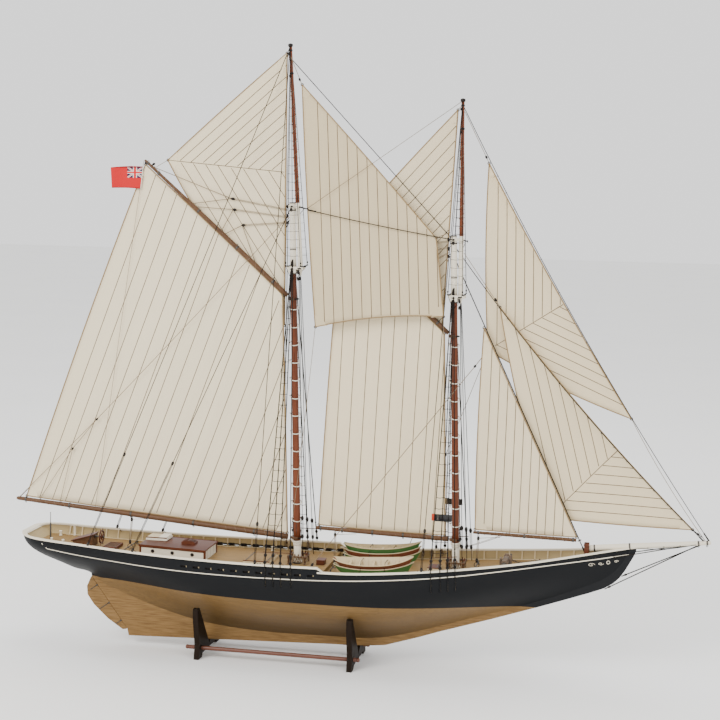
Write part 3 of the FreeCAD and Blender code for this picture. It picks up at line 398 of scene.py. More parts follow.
# ---------------------------------------------------------------- materials
class Graph:
    """Short calls for building a procedural material."""

    def __init__(self, name):
        self.mat = bpy.data.materials.new(name)
        self.mat.use_nodes = True
        self.tree = self.mat.node_tree
        self.bsdf = self.tree.nodes["Principled BSDF"]
        self.coord = self.tree.nodes.new("ShaderNodeTexCoord").outputs["Object"]

    def link(self, value, socket):
        if isinstance(value, bpy.types.NodeSocket):
            self.tree.links.new(value, socket)
        elif hasattr(value, "__len__") and len(value) == 3 and len(socket.default_value) == 4:
            socket.default_value = (*value, 1.0)
        else:
            socket.default_value = value

    def node(self, kind, **inputs):
        made = self.tree.nodes.new("ShaderNode" + kind)
        for key, value in inputs.items():
            self.link(value, made.inputs[key.replace("_", " ")])
        return made

    def math(self, operation, a, b=0.0, c=0.0):
        made = self.tree.nodes.new("ShaderNodeMath")
        made.operation = operation
        for socket, value in zip(made.inputs, (a, b, c)):
            self.link(value, socket)
        return made.outputs[0]

    def dot(self, direction):
        """Distance along a direction, in metres."""
        made = self.tree.nodes.new("ShaderNodeVectorMath")
        made.operation = "DOT_PRODUCT"
        self.tree.links.new(self.coord, made.inputs[0])
        made.inputs[1].default_value = direction
        return made.outputs["Value"]

    def stretched(self, scale, rotation=(0, 0, 0)):
        made = self.tree.nodes.new("ShaderNodeMapping")
        self.tree.links.new(self.coord, made.inputs["Vector"])
        made.inputs["Scale"].default_value = scale
        made.inputs["Rotation"].default_value = rotation
        return made.outputs[0]

    def noise(self, scale, detail=3.0, vector=None, rough=0.55):
        made = self.tree.nodes.new("ShaderNodeTexNoise")
        self.tree.links.new(self.coord if vector is None else vector, made.inputs["Vector"])
        made.inputs["Scale"].default_value = scale
        made.inputs["Detail"].default_value = detail
        made.inputs["Roughness"].default_value = rough
        return made.outputs["Fac"]

    def ramp(self, value, stops):
        made = self.tree.nodes.new("ShaderNodeValToRGB")
        self.link(value, made.inputs["Fac"])
        elements = made.color_ramp.elements
        while len(elements) < len(stops):
            elements.new(0.5)
        for element, (place, colour) in zip(elements, stops):
            element.position = place
            element.color = (*colour, 1.0) if len(colour) == 3 else colour
        return made.outputs["Color"]

    def mix(self, amount, a, b, kind="MIX"):
        made = self.tree.nodes.new("ShaderNodeMix")
        made.data_type = "RGBA"
        made.blend_type = kind
        self.link(amount, made.inputs[0])
        self.link(a, made.inputs[6])
        self.link(b, made.inputs[7])
        return made.outputs[2]

    def spread(self, value, low, high):
        """Maps 0..1 to low..high."""
        made = self.tree.nodes.new("ShaderNodeMapRange")
        self.link(value, made.inputs["Value"])
        made.inputs["To Min"].default_value = low
        made.inputs["To Max"].default_value = high
        return made.outputs[0]

    def groove(self, value, width):
        """1 at whole numbers of value, falling to 0 within width of them."""
        near = self.math("PINGPONG", value, 0.5)
        return self.math("SUBTRACT", 1.0, self.math("SMOOTH_MIN", self.math("DIVIDE", near, width), 1.0, 0.2))

    def bump(self, height, strength, distance):
        made = self.tree.nodes.new("ShaderNodeBump")
        made.inputs["Strength"].default_value = strength
        made.inputs["Distance"].default_value = distance * MM
        self.link(height, made.inputs["Height"])
        self.tree.links.new(made.outputs[0], self.bsdf.inputs["Normal"])

    def finish(self, colour, rough, **sockets):
        self.link(colour, self.bsdf.inputs["Base Color"])
        self.link(rough, self.bsdf.inputs["Roughness"])
        self.bsdf.inputs["Specular IOR Level"].default_value = 0.16
        for key, value in sockets.items():
            self.link(value, self.bsdf.inputs[key.replace("_", " ")])
        return self.mat


def shade(colour, factor):
    """A colour made darker or lighter."""
    return tuple(min(1.0, c * factor) for c in colour)


def wood(name, colour, grain="x", rough=0.42, contrast=0.35, coat=0.05, size=1.0, shine=0.16):
    """Varnished or plain wood with its grain along one axis."""
    g = Graph(name)
    scale = {"x": (0.05, 1, 1), "y": (1, 0.05, 1), "z": (1, 1, 0.05)}[grain]
    stretched = g.stretched(scale)
    fine = g.noise(900 / size, 6, stretched, 0.6)
    broad = g.noise(120 / size, 3, stretched)
    streak = g.math("ADD", g.math("MULTIPLY", fine, 0.6), g.math("MULTIPLY", broad, 0.4))
    tone = g.ramp(
        streak,
        [(0.36, shade(colour, 1 - contrast)), (0.5, colour), (0.66, shade(colour, 1 + contrast * 0.6))]
    )
    patch = g.noise(18, 2)
    tone = g.mix(g.spread(patch, 0.0, 0.22), tone, shade(colour, 0.55))
    g.bump(streak, 0.35, 0.06)
    g.bsdf.inputs["Coat Weight"].default_value = coat
    g.bsdf.inputs["Coat Roughness"].default_value = 0.25
    return g.finish(tone, g.spread(fine, rough - 0.08, rough + 0.12), Specular_IOR_Level=shine)


def paint(name, colour, rough=0.45, wear=0.25, under=None, grain="x", coat=0.0):
    """Brushed paint over wood: faint brush marks, dirt and rubbed patches."""
    g = Graph(name)
    scale = {"x": (0.06, 1, 1), "y": (1, 0.06, 1), "z": (1, 1, 0.06)}[grain]
    brush = g.noise(700, 4, g.stretched(scale))
    cloud = g.noise(30, 4)
    tone = g.mix(g.spread(cloud, 0.0, wear), colour, under or shade(colour, 0.72))
    tone = g.mix(g.spread(brush, 0.0, 0.16), tone, shade(colour, 0.8))
    g.bump(brush, 0.3, 0.03)
    if coat:
        g.bsdf.inputs["Coat Weight"].default_value = coat
    return g.finish(tone, g.spread(cloud, rough - 0.08, rough + 0.1))


def cordage(name, colour, pitch=0.9):
    """Laid line: twisted strands as bump and tone; the tone darkens the grooves between strands as painted
    shade.
    """
    g = Graph(name)
    twist = g.math("ADD", g.math("ADD", g.dot((1, 0, 0)), g.dot((0, 1.3, 0))), g.dot((0, 0, 0.9)))
    strand = g.groove(g.math("MULTIPLY", twist, 1.0 / (pitch * MM)), 0.32)
    fuzz = g.noise(2500, 3)
    # painted shade: the grooves between the strands are darkened
    tone = g.mix(g.math("MULTIPLY", strand, 0.45), colour, shade(colour, 0.45))
    tone = g.mix(g.spread(fuzz, 0.0, 0.35), tone, shade(colour, 1.5))
    g.bump(g.math("SUBTRACT", 1.0, strand), 0.6, 0.08)
    return g.finish(tone, g.spread(fuzz, 0.7, 0.95))


def metal(name, colour, rough=0.4):
    """Small metal fittings, slightly tarnished."""
    g = Graph(name)
    cloud = g.noise(260, 4)
    fine = g.noise(2400, 2)
    tone = g.mix(g.spread(cloud, 0.0, 0.5), colour, shade(colour, 0.5))
    g.bsdf.inputs["Metallic"].default_value = 0.85
    g.bump(fine, 0.25, 0.03)
    return g.finish(tone, g.spread(cloud, rough - 0.1, rough + 0.2))


def planking(
    name, colour, width, axis=(0, 1, 0), length=90.0, seam=(0.05, 0.03, 0.02),
    rough=0.5, coat=0.1, curve=None, line=0.07, painted_shade_below=False
):
    """Planks side by side: seams, butt joints, a tone for each plank and the grain along X; on request the
    planks also darken with depth below the waterline, as painted shade.
    """
    g = Graph(name)
    across = g.dot(axis)
    if curve is not None:
        x = g.dot((1, 0, 0))
        bent = g.math("MULTIPLY", g.math("MULTIPLY", x, x), curve[1])
        across = g.math("SUBTRACT", g.math("SUBTRACT", across, g.math("MULTIPLY", x, curve[0])), bent)
    strake = g.math("MULTIPLY", across, 1.0 / (width * MM))
    number = g.math("FLOOR", strake)
    edge = g.groove(strake, line)
    shift = g.math("MULTIPLY", g.math("MODULO", g.math("MULTIPLY", number, 0.37), 1.0), 1.0)
    butt_place = g.math("ADD", g.math("MULTIPLY", g.dot((1, 0, 0)), 1.0 / (length * MM)), shift)
    butt = g.groove(butt_place, line * width / length)
    joint = g.math("MAXIMUM", edge, butt)
    cell = g.tree.nodes.new("ShaderNodeTexWhiteNoise")
    cell.noise_dimensions = "2D"
    both = g.tree.nodes.new("ShaderNodeCombineXYZ")
    g.link(number, both.inputs[0])
    g.link(g.math("FLOOR", g.math("ADD", butt_place, 0.5)), both.inputs[1])
    g.link(both.outputs[0], cell.inputs["Vector"])
    fine = g.noise(900, 5, g.stretched((0.05, 1, 1)), 0.6)
    tone = g.ramp(fine, [(0.35, shade(colour, 0.72)), (0.52, colour), (0.68, shade(colour, 1.18))])
    tone = g.mix(g.spread(cell.outputs["Value"], 0.0, 0.34), tone, shade(colour, 0.62))
    tone = g.mix(g.spread(g.noise(14, 3), 0.0, 0.25), tone, shade(colour, 0.6))
    tone = g.mix(g.math("MULTIPLY", joint, 0.75), tone, seam)
    if painted_shade_below:
        # painted shade: the planks grow darker the deeper they lie below the waterline
        depth = g.math("DIVIDE", g.math("SUBTRACT", WATERLINE_Z * MM, g.dot((0, 0, 1))), BOTTOM_DEPTH * MM)
        tone = g.mix(g.math("MINIMUM", g.math("MULTIPLY", depth, 1.25), 0.82), tone, shade(colour, 0.22))
    g.bump(g.math("SUBTRACT", g.math("MULTIPLY", fine, 0.2), joint), 0.5, 0.12)
    g.bsdf.inputs["Coat Weight"].default_value = coat
    g.bsdf.inputs["Coat Roughness"].default_value = 0.3
    return g.finish(tone, g.spread(fine, rough - 0.06, rough + 0.12))


def cloth(name, colour, seam=None, spacing=24.0, rough=0.85):
    """Sail cloth: fine weave, soft creases, and panels of slightly different tone."""
    g = Graph(name)
    warp = g.groove(g.math("MULTIPLY", g.dot((1, 0, 0)), 1.0 / (0.7 * MM)), 0.5)
    weft = g.groove(g.math("MULTIPLY", g.dot((0, 0, 1)), 1.0 / (0.7 * MM)), 0.5)
    weave = g.math("MULTIPLY", g.math("ADD", warp, weft), 0.5)
    crease = g.noise(22, 4, g.stretched((1.0, 1.0, 0.45)))
    slub = g.noise(420, 4)
    stain = g.noise(9, 4)
    tone = g.mix(g.spread(stain, 0.0, 0.5), colour, shade(colour, 0.80))
    tone = g.mix(g.spread(slub, 0.0, 0.16), tone, (0.62, 0.52, 0.38))
    if seam is not None:
        number = g.math("FLOOR", g.math("MULTIPLY", g.dot(seam), 1.0 / (spacing * MM)))
        cell = g.tree.nodes.new("ShaderNodeTexWhiteNoise")
        cell.noise_dimensions = "1D"
        g.link(number, cell.inputs["W"])
        tone = g.mix(g.spread(cell.outputs["Value"], 0.0, 0.22), tone, shade(colour, 0.84))
    height = g.math(
        "ADD", g.math("MULTIPLY", weave, 0.05), g.math("ADD", crease, g.math("MULTIPLY", slub, 0.1))
    )
    g.bump(height, 0.6, 2.2)
    return g.finish(tone, g.spread(slub, rough - 0.05, min(1.0, rough + 0.1)))


def hull_paint(name):
    """Black topsides outside and cream bulwarks inside the rail."""
    g = Graph(name)
    brush = g.noise(700, 4, g.stretched((0.06, 1, 1)))
    cloud = g.noise(22, 4)
    black = g.mix(g.spread(cloud, 0.0, 0.5), (0.0070, 0.0076, 0.0088), (0.0125, 0.0130, 0.0140))
    cream = g.mix(g.spread(brush, 0.0, 0.5), (0.50, 0.39, 0.21), (0.36, 0.275, 0.14))
    cream = g.mix(g.spread(cloud, 0.0, 0.4), cream, (0.22, 0.16, 0.08))
    normal = g.tree.nodes.new("ShaderNodeTexCoord").outputs["Normal"]
    faces = g.tree.nodes.new("ShaderNodeSeparateXYZ")
    g.tree.links.new(normal, faces.inputs[0])
    place = g.tree.nodes.new("ShaderNodeSeparateXYZ")
    g.tree.links.new(g.coord, place.inputs[0])
    across = g.math("MULTIPLY", faces.outputs[1], place.outputs[1])
    abaft = g.math("MINIMUM", g.math("SUBTRACT", place.outputs[0], COUNTER_X * MM), 0.0)
    towards = g.math("ADD", across, g.math("MULTIPLY", faces.outputs[0], abaft))
    inside = g.math("LESS_THAN", towards, -0.01)
    tone = g.mix(inside, black, cream)
    g.bump(brush, 0.25, 0.03)
    return g.finish(tone, g.spread(cloud, 0.42, 0.58), Specular_IOR_Level=0.09)


def keel_paint(name):
    """Keel and stem: the bottom's tan below the waterline and black above it."""
    g = Graph(name)
    fine = g.noise(900, 6, g.stretched((0.05, 1, 1)), 0.6)
    tan = g.ramp(
        fine, [(0.36, (0.13, 0.07, 0.024)), (0.5, (0.19, 0.108, 0.038)), (0.66, (0.24, 0.14, 0.055))]
    )
    tone = g.mix(g.math("GREATER_THAN", g.dot((0, 0, 1)), WATERLINE_Z * MM), tan, (0.0072, 0.0078, 0.009))
    g.bump(fine, 0.3, 0.05)
    return g.finish(tone, g.spread(fine, 0.34, 0.5))


IVORY = (0.84, 0.725, 0.515)
MATERIALS = {
    "topside_black": hull_paint("topside_black"),
    # the bottom's planking darkens towards the keel as painted shade
    "bottom_tan": planking(
        "bottom_tan", (0.205, 0.118, 0.040), 7.0, (0, 0, 1), 150.0,
        (0.09, 0.045, 0.016), 0.42, 0.04, (0.0, 0.12), 0.03, painted_shade_below=True
    ),
    "deck_planks": planking(
        "deck_planks", (0.30, 0.185, 0.070), 3.4, (0, 1, 0), 70.0, (0.07, 0.04, 0.02), 0.55, 0.0
    ),
    "mast_wood": wood("mast_wood", (0.140, 0.038, 0.015), "z", 0.4, 0.4),
    "spar_wood": wood("spar_wood", (0.105, 0.052, 0.025), "x", 0.42, 0.4),
    "white_paint": paint("white_paint", (0.78, 0.72, 0.59), 0.5, 0.35, (0.52, 0.44, 0.31)),
    "mahogany": wood("mahogany", (0.100, 0.029, 0.013), "x", 0.4, 0.4),
    "stand_wood": wood("stand_wood", (0.014, 0.009, 0.006), "z", 0.5, 0.35, 0.0, shine=0.06),
    "keel_wood": keel_paint("keel_wood"),
    "sail_cloth": cloth("sail_cloth", IVORY),
    "dark_line": cordage("dark_line", (0.013, 0.010, 0.008)),
    "pale_line": cordage("pale_line", (0.20, 0.145, 0.09)),
    "block_black": paint("block_black", (0.011, 0.009, 0.008), 0.45, 0.3, (0.03, 0.022, 0.016)),
    "flag_cloth": cloth("flag_cloth", (0.62, 0.03, 0.025)),
    "dark_metal": metal("dark_metal", (0.10, 0.09, 0.08)),
    "dory_green": paint("dory_green", (0.085, 0.16, 0.055), 0.4, 0.4, (0.05, 0.10, 0.04)),
    "dory_brown": paint("dory_brown", (0.22, 0.075, 0.035), 0.4, 0.4, (0.12, 0.05, 0.03)),
    "board_paint": paint("board_paint", (0.03, 0.03, 0.03), 0.4, 0.2),
}
MATERIALS["cream"] = paint("cream_paint", (0.62, 0.51, 0.32), 0.5, 0.4, (0.42, 0.32, 0.18))
MATERIALS["bolt_rope"] = cordage("bolt_rope", (0.26, 0.175, 0.085), 1.2)
MATERIALS["seam"] = cordage("seam_thread", (0.085, 0.054, 0.030), 1.6)
MATERIALS["white_line"] = cordage("white_line", (0.72, 0.68, 0.58))


def looks(*names):
    """The materials with these names, in this order."""
    return [MATERIALS[name] for name in names]


# every CAD node takes the material of its slot until a made piece stands for it
for part in frame["record"]["subparts"]:
    node = frame["nodes"][part["node"]]
    node.data.materials.clear()
    node.data.materials.append(MATERIALS[part["material_slot"]])

# ---------------------------------------------------------------- camera, floor and light
TARGET = Vector((0.00935, 0.0, 0.344))
DISTANCE = 1.6667
AZIMUTH = math.radians(11.0)
PITCH = math.radians(6.2)
ROLL = math.radians(1.2)
back = Vector((math.sin(AZIMUTH) * math.cos(PITCH), -math.cos(AZIMUTH) * math.cos(PITCH), math.sin(PITCH)))
right = Vector((math.cos(AZIMUTH), math.sin(AZIMUTH), 0.0))
up = back.cross(right)
cam_x = right * math.cos(ROLL) + up * math.sin(ROLL)
cam_y = up * math.cos(ROLL) - right * math.sin(ROLL)
camera_data = bpy.data.cameras.new("Camera")
camera_data.lens = 75.0
camera_data.sensor_width = 36.0
camera_data.clip_end = 50.0
camera = bpy.data.objects.new("Camera", camera_data)
bpy.context.scene.collection.objects.link(camera)
turn = Matrix((cam_x, cam_y, back)).transposed().to_4x4()
camera.matrix_world = Matrix.Translation(TARGET + back * DISTANCE) @ turn
bpy.context.scene.camera = camera

floor_piece = Graph("floor_paper")
floor_material = floor_piece.finish(
    floor_piece.ramp(floor_piece.noise(3.0), [(0.3, (0.90, 0.90, 0.89)), (0.7, (0.92, 0.92, 0.91))]), 0.9
)
floor_mesh = bpy.data.meshes.new("floor")
floor_mesh.from_pydata([(-12, -12, 0), (12, -12, 0), (12, 12, 0), (-12, 12, 0)], [], [(0, 1, 2, 3)])
floor_mesh.materials.append(floor_material)
floor = bpy.data.objects.new("floor", floor_mesh)
bpy.context.scene.collection.objects.link(floor)
floor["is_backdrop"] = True

world = bpy.data.worlds.new("studio")
world.use_nodes = True
world.node_tree.nodes["Background"].inputs[0].default_value = (1.0, 1.0, 1.0, 1.0)
world.node_tree.nodes["Background"].inputs[1].default_value = 1.45
bpy.context.scene.world = world


def area_light(name, place, aim, size, power, colour=(1, 1, 1)):
    """Soft square light pointed at a place."""
    data = bpy.data.lights.new(name, "AREA")
    data.size = size
    data.energy = power
    data.color = colour
    lamp = bpy.data.objects.new(name, data)
    bpy.context.scene.collection.objects.link(lamp)
    lamp.location = place
    lamp.rotation_euler = (Vector(aim) - Vector(place)).to_track_quat("-Z", "Y").to_euler()


area_light("key", (-1.3, -2.2, 2.0), (0, 0, 0.3), 1.4, 62, (1.0, 0.97, 0.93))
area_light("fill", (2.2, -1.6, 1.1), (0, 0, 0.3), 1.6, 18, (0.95, 0.97, 1.0))
area_light("top", (0.2, 0.6, 2.6), (0, 0, 0.2), 1.6, 20)

# ---------------------------------------------------------------- hull details
STRIPE = (
    (-343.5, 115.8), (-301.3, 110.8), (-253.7, 107.5), (-206, 105.8), (-154, 105.1), (-97, 105.4),
    (-70, 106.0), (-36, 106.6), (18, 108.9), (64, 112.3), (94, 115.0), (134, 119.5), (161, 123.2),
    (219, 131.0), (277, 138.6), (311, 143.8),
)


def smooth_table(table, x):
    """Value of a table at x on a smooth curve through its points."""
    n = len(table)
    for i in range(n - 1):
        if x <= table[i + 1][0] or i == n - 2:
            break
    p = [table[max(i - 1, 0)], table[i], table[i + 1], table[min(i + 2, n - 1)]]
    span = p[2][0] - p[1][0]
    t = min(max((x - p[1][0]) / span, 0.0), 1.0)
    slope_a = (p[2][1] - p[0][1]) / max(p[2][0] - p[0][0], 1e-6) * span
    slope_b = (p[3][1] - p[1][1]) / max(p[3][0] - p[1][0], 1e-6) * span
    t2, t3 = t * t, t * t * t
    return (
        (2 * t3 - 3 * t2 + 1) * p[1][1] + (t3 - 2 * t2 + t) * slope_a
        + (3 * t2 - 2 * t3) * p[2][1] + (t3 - t2) * slope_b
    )


hull_tree = []
for name in ("topside_planking", "bottom_planking", "backbone"):
    mesh = frame["nodes"][name].data
    hull_tree.append(
        BVHTree.FromPolygons(
            [v.co / MM for v in mesh.vertices], [tuple(p.vertices) for p in mesh.polygons]
        )
    )


def skin(x, z, side, proud=0.0):
    """Point on the hull's outside at (x, z), standing proud of it."""
    for tree in hull_tree:
        hit, normal, _, _ = tree.ray_cast((x, side * 120.0, z), (0, -side, 0))
        if hit is not None:
            if normal.y * side < 0:
                normal = -normal
            return hit + normal * proud
    return Vector((x, side * (half_breadth(x, z) + proud), z))


def hull_line(piece, points, half, mat=0, proud=0.16, step=6.0, side=1):
    """Narrow raised band on the hull following side-view points."""
    path = []
    for (xa, za), (xb, zb) in zip(points, points[1:]):
        count = max(1, int(math.hypot(xb - xa, zb - za) / step))
        path += [(xa + (xb - xa) * k / count, za + (zb - za) * k / count) for k in range(count)]
    path.append(points[-1])
    rows = []
    for i, (x, z) in enumerate(path):
        xa, za = path[max(i - 1, 0)]
        xb, zb = path[min(i + 1, len(path) - 1)]
        length = math.hypot(xb - xa, zb - za)
        nx, nz = -(zb - za) / length * half, (xb - xa) / length * half
        low, high = skin(x - nx, z - nz, side), skin(x + nx, z + nz, side)
        out = Vector((0, side, 0)) * proud
        rows.append([low - out, low + out, high + out, high - out])
    piece.strip(rows, mat, closed=True)


stripe = Piece()
for side in (-1, 1):
    path = [(x, smooth_table(STRIPE, x)) for x in range(-343, 312, 6)] + [(311.5, 143.9)]
    hull_line(stripe, [(-349.2, 122.4), (-343.6, 115.9)] + path, 0.55, side=side)
stripe.make("sheer_stripe", "ship", looks("white_paint"), "white_paint")

# moulding under the cap rail, aft and forward of the break in the deck
mould = Piece()
for side in (-1, 1):
    aft = [(x, rail_z(x) - 2.6) for x in range(-352, -21, 6)] + [(-21.4, rail_z(-21.4) - 2.6)]
    fore = [(x, rail_z(x) - 2.6) for x in range(-20, 312, 6)]
    hull_line(mould, aft, 0.45, proud=0.35, side=side)
    hull_line(mould, fore, 0.45, proud=0.35, side=side)
mould.make("rail_moulding", "ship", looks("topside_black"), "topside_black")

# scrollwork by the hawse holes: plain curls of no particular design
scroll = Piece()
for side in (-1, 1):
    for cx, size, spin in ((272.0, 3.0, 1), (282.0, 2.4, -1), (298.5, 2.0, 1)):
        cz = smooth_table(STRIPE, cx) - 5.6
        curl = []
        for k in range(26):
            a = k / 25 * math.pi * 2.6
            r = size * (1 - k / 30)
            curl.append(skin(cx + r * math.cos(a) * 1.3, cz + spin * r * math.sin(a) * 0.7, side, 0.12))
        scroll.tube(curl, 0.26, 5)
    hawse = skin(290.0, smooth_table(STRIPE, 290.0) - 5.4, side)
    scroll.ring(hawse, (0.3, side, 0), 1.7, 0.45, 0, 18, 6)
    scroll.lathe(
        hawse + Vector((0, side * 0.1, 0)), (0.25, side, 0),
        [(-0.2, 1.4), (0.12, 1.4), (0.14, 1.0)], 14, 1
    )
scroll.make("bow_scrolls", "ship", looks("white_paint", "topside_black"), "white_paint")

# timbers inside the bulwarks, the waterway plank and the slope of the rail at the break
timbers = Piece()
for side in (-1, 1):
    x = -346.0
    while x < 262.0:
        place = x - 0.8
        if not -24.0 < place < -19.0:
            z0, z1 = deck_z(place) + 0.1, rail_z(place) - 1.7
            y_low = half_breadth(place, z0) - 3.55
            y_top = half_breadth(place, z1) - 3.55
            rows = []
            for z, y in ((z0, y_low), (z1, y_top)):
                rows.append([
                    Vector((place - 0.8, side * y, z)), Vector((place + 0.8, side * y, z)),
                    Vector((place + 0.8, side * (y + 1.5), z)), Vector((place - 0.8, side * (y + 1.5), z)),
                ])
            timbers.strip(rows, closed=True, flat=True)
        x += 14.6
    for x0, x1 in ((-350.0, -22.0), (-20.0, 268.0)):
        rows = []
        count = int((x1 - x0) / 6)
        for k in range(count + 1):
            x = x0 + (x1 - x0) * k / count
            z = deck_z(x)
            y = half_breadth(x, z + 0.5) - 2.45
            rows.append([
                Vector((x, side * (y - 3.2), z + 0.02)), Vector((x, side * (y - 3.2), z + 0.5)),
                Vector((x, side * y, z + 0.5)), Vector((x, side * y, z + 0.02)),
            ])
        timbers.strip(rows, 0, closed=True)
    # dark band between the freeing ports, and the flap hung inside each port; the shut black flaps of the
    # near side are painted shade
    for i in range(12):
        x = -178.0 + 14.6 * i
        if x < BREAK_X < x + 8.0:
            continue
        z = deck_z(x + 4.0) + 0.8
        rows = []
        for xx in (x + 7.7, x + 10.0, x + 12.2, x + 14.4):
            y = half_breadth(xx, z + 1.0) - 2.25
            rows.append([
                Vector((xx, side * (y - 0.5), z - 0.2)), Vector((xx, side * (y - 0.5), z + 3.3)),
                Vector((xx, side * y, z + 3.3)), Vector((xx, side * y, z - 0.2)),
            ])
        timbers.strip(rows, 1, closed=True, flat=True)
        # the port-side flaps hang open; the starboard ones are shut, black sheets that fill the near ports as
        # painted shade
        y = half_breadth(x + 4.0, z + 1.0) - 2.3
        swing, drop = (1.9, 1.2) if side > 0 else (0.1, 2.7)
        rows = []
        for xx in (x - 0.8, x + 8.8):
            rows.append([
                Vector((xx, side * y, z + 2.5)), Vector((xx, side * (y - swing), z + 2.5 - drop)),
                Vector((xx, side * (y - swing - 0.4), z + 2.7 - drop)),
                Vector((xx, side * (y - 0.4), z + 2.9)),
            ])
        timbers.strip(rows, 1, closed=True, flat=True)
timbers.make("bulwark_timbers", "ship", looks("cream", "block_black"), "white_paint")

wedge = Piece()
for side in (-1, 1):
    y1 = side * (half_breadth(-18.0, 200) + 0.9)
    y0 = y1 - side * 4.4
    low, high = sorted((y0, y1))
    z_aft, z_fore = rail_z(-21.2), rail_z(-15.0)
    wedge.prism(
        [
            (-24.5, z_aft + 0.06), (-22.0, z_aft + 0.06),
            (-15.0, z_fore + 0.06), (-15.0, z_fore - 0.3), (-24.5, z_aft - 0.3)
        ],
        low, high, 0
    )
    y2 = side * (half_breadth(-18.0, 200) + 0.1)
    low, high = sorted((y2 - side * 2.1, y2))
    wedge.prism([(-20.9, z_aft - 1.0), (-15.2, z_fore - 0.2), (-20.9, z_fore - 0.2)], low, high, 1)
wedge.make("rail_break", "ship", looks("white_paint", "topside_black"), "white_paint", bevel=0.2)

# rudder straps
rudder_iron = Piece()
low, top = Vector((-261.6, 0, 17.1)), Vector((-304.9, 0, 76.3))
for t, reach in ((0.16, 7.0), (0.5, 14.0), (0.84, 10.0)):
    p = low.lerp(top, t)
    axis = (top - low).normalized()
    aft = Vector((-axis.z, 0, axis.x))
    rudder_iron.ring(p, axis, 1.55, 0.35, 0, 14, 6, 1.0)
    for sy in (-1, 1):
        rudder_iron.tube(
            [p + aft * 0.6 + Vector((0, sy * 1.35, 0)), p + aft * reach + Vector((0, sy * 1.35, 0))],
            0.5, 6, squash=((0, 1, 0), 0.45)
        )
rudder_iron.make("rudder_straps", "rudder", looks("dark_metal"), "dark_metal")

# ---------------------------------------------------------------- cabin trunk
cabin = Piece()
CX0, CX1, CY = -237.0, -161.0, 24.0


def cabin_top(x):
    """Underside of the cabin roof at x."""
    return 122.84 + (x - CX0 + 1.4) / (CX1 - CX0 + 2.8) * (120.56 - 122.84)


def sloped_box(piece, x0, x1, y0, y1, z0, z1, mat, drop=2.2 / 76.0):
    """Box whose top and bottom follow the cabin roof's slope."""
    piece.prism([(x0, z0), (x1, z0 - drop * (x1 - x0)), (x1, z1 - drop * (x1 - x0)), (x0, z1)], y0, y1, mat)


for sy in (-1, 1):
    low, high = sorted((sy * CY, sy * (CY - 1.5)))
    cabin.prism([(CX0, 110.4), (CX1, 108.9), (CX1, cabin_top(CX1)), (CX0, cabin_top(CX0))], low, high, 0)
    for x in (CX0, CX1):
        low, high = sorted((sy * (CY + 0.35), sy * (CY - 2.0)))
        cabin.box((x - 1.1, low, deck_z(x) + 0.1), (x + 1.1, high, cabin_top(x)), 1, 0.25)
    low, high = sorted((sy * (CY + 0.3), sy * (CY - 0.2)))
    sloped_box(cabin, CX0 + 1, CX1 - 1, low, high, cabin_top(CX0) - 1.3, cabin_top(CX0), 1)
    sloped_box(cabin, CX0 + 1, CX1 - 1, low, high, 110.2, 111.5, 1, 1.2 / 76)
for x, mat in ((CX0, 0), (CX1 - 1.5, 0)):
    cabin.box((x, -CY + 1.5, deck_z(x) + 0.05), (x + 1.5, CY - 1.5, cabin_top(x)), mat, 0.1)
for k in range(7):
    y = -18.0 + 6.0 * k
    cabin.box((CX1 - 0.1, y - 0.15, deck_z(CX1) + 0.4), (CX1 + 0.18, y + 0.15, cabin_top(CX1) - 0.2), 1, 0.03)
for x0, x1, y0, y1, z in ((-238.0, -213.0, -2.0, 20.0, 124.6),):
    cabin.box((x0, y0, z), (x1, y1, z + 2.6), 0, 0.3)
    cabin.box((x0 + 0.6, y0 + 1.0, z + 2.6), (x1 - 8.0, y1 - 1.0, z + 3.6), 2, 0.25)
    cabin.box((x1 - 10.0, y0 + 0.8, z + 2.6), (x1 - 0.4, y1 - 0.8, z + 4.4), 0, 0.3)
    for y in (y0 + 0.3, y1 - 0.9):
        cabin.box((x0, y, z + 2.6), (x1, y + 0.6, z + 3.9), 1, 0.15)
cabin.make(
    "cabin_trunk", "ship", looks("white_paint", "mahogany", "cream"),
    "white_paint", ["cabin_walls"], bevel=0.12,
)

roof = Piece()
columns = 14
thick = 1.66
grow = 1.4
rows = []
for k in range(columns + 1):
    y = (-1 + 2 * k / columns) * (CY + grow)
    crown = 0.5 * (1 - (y / (CY + grow)) ** 2)
    x0, x1 = CX0 - grow, CX1 + grow
    z0, z1 = cabin_top(x0) + crown, cabin_top(x1) + crown
    rows.append(
        [
            Vector((x0, y, z0)), Vector((x1, y, z1)),
            Vector((x1, y, z1 + thick)), Vector((x0, y, z0 + thick))
        ]
    )
roof.strip(rows, 0, closed=True)
roof.faces += [(0, 1, 2, 3), tuple(len(roof.verts) - 4 + i for i in (3, 2, 1, 0))]
roof.mats += [0, 0]
roof.flat += [True, True]
roof.prism([(-327, 118.95), (-327, 120.2), (-299.6, 128.4), (-299.6, 127.15)], -10.2, 10.2, 0)
roof.make("cabin_roof", "ship", looks("mahogany"), "mahogany", ["roofs"], bevel=0.35)

fittings = Piece()
# skylight with small panes
fittings.prism([(-194, 123.0), (-194, 126.2), (-186, 127.6), (-178, 125.8), (-178, 122.6)], -6, 6, 0)
for sx in (-1, 1):
    for y in (-4.4, -1.4, 1.6):
        a = Vector((-186 + sx * 0.9, y, 127.72 - 0.1))
        b = Vector((-186 + sx * 7.2, y, 126.35 if sx < 0 else 126.15))
        side_step = Vector((0, 2.6, 0))
        lift = Vector((0, 0, 0.22))
        fittings.add(
            [a + lift, b + lift, b + side_step + lift, a + side_step + lift],
            [(0, 1, 2, 3) if sx < 0 else (3, 2, 1, 0)], 3, True
        )
        for p, q in ((a, b), (a + side_step, b + side_step)):
            fittings.tube([p + lift, q + lift], 0.28, 5, 0)
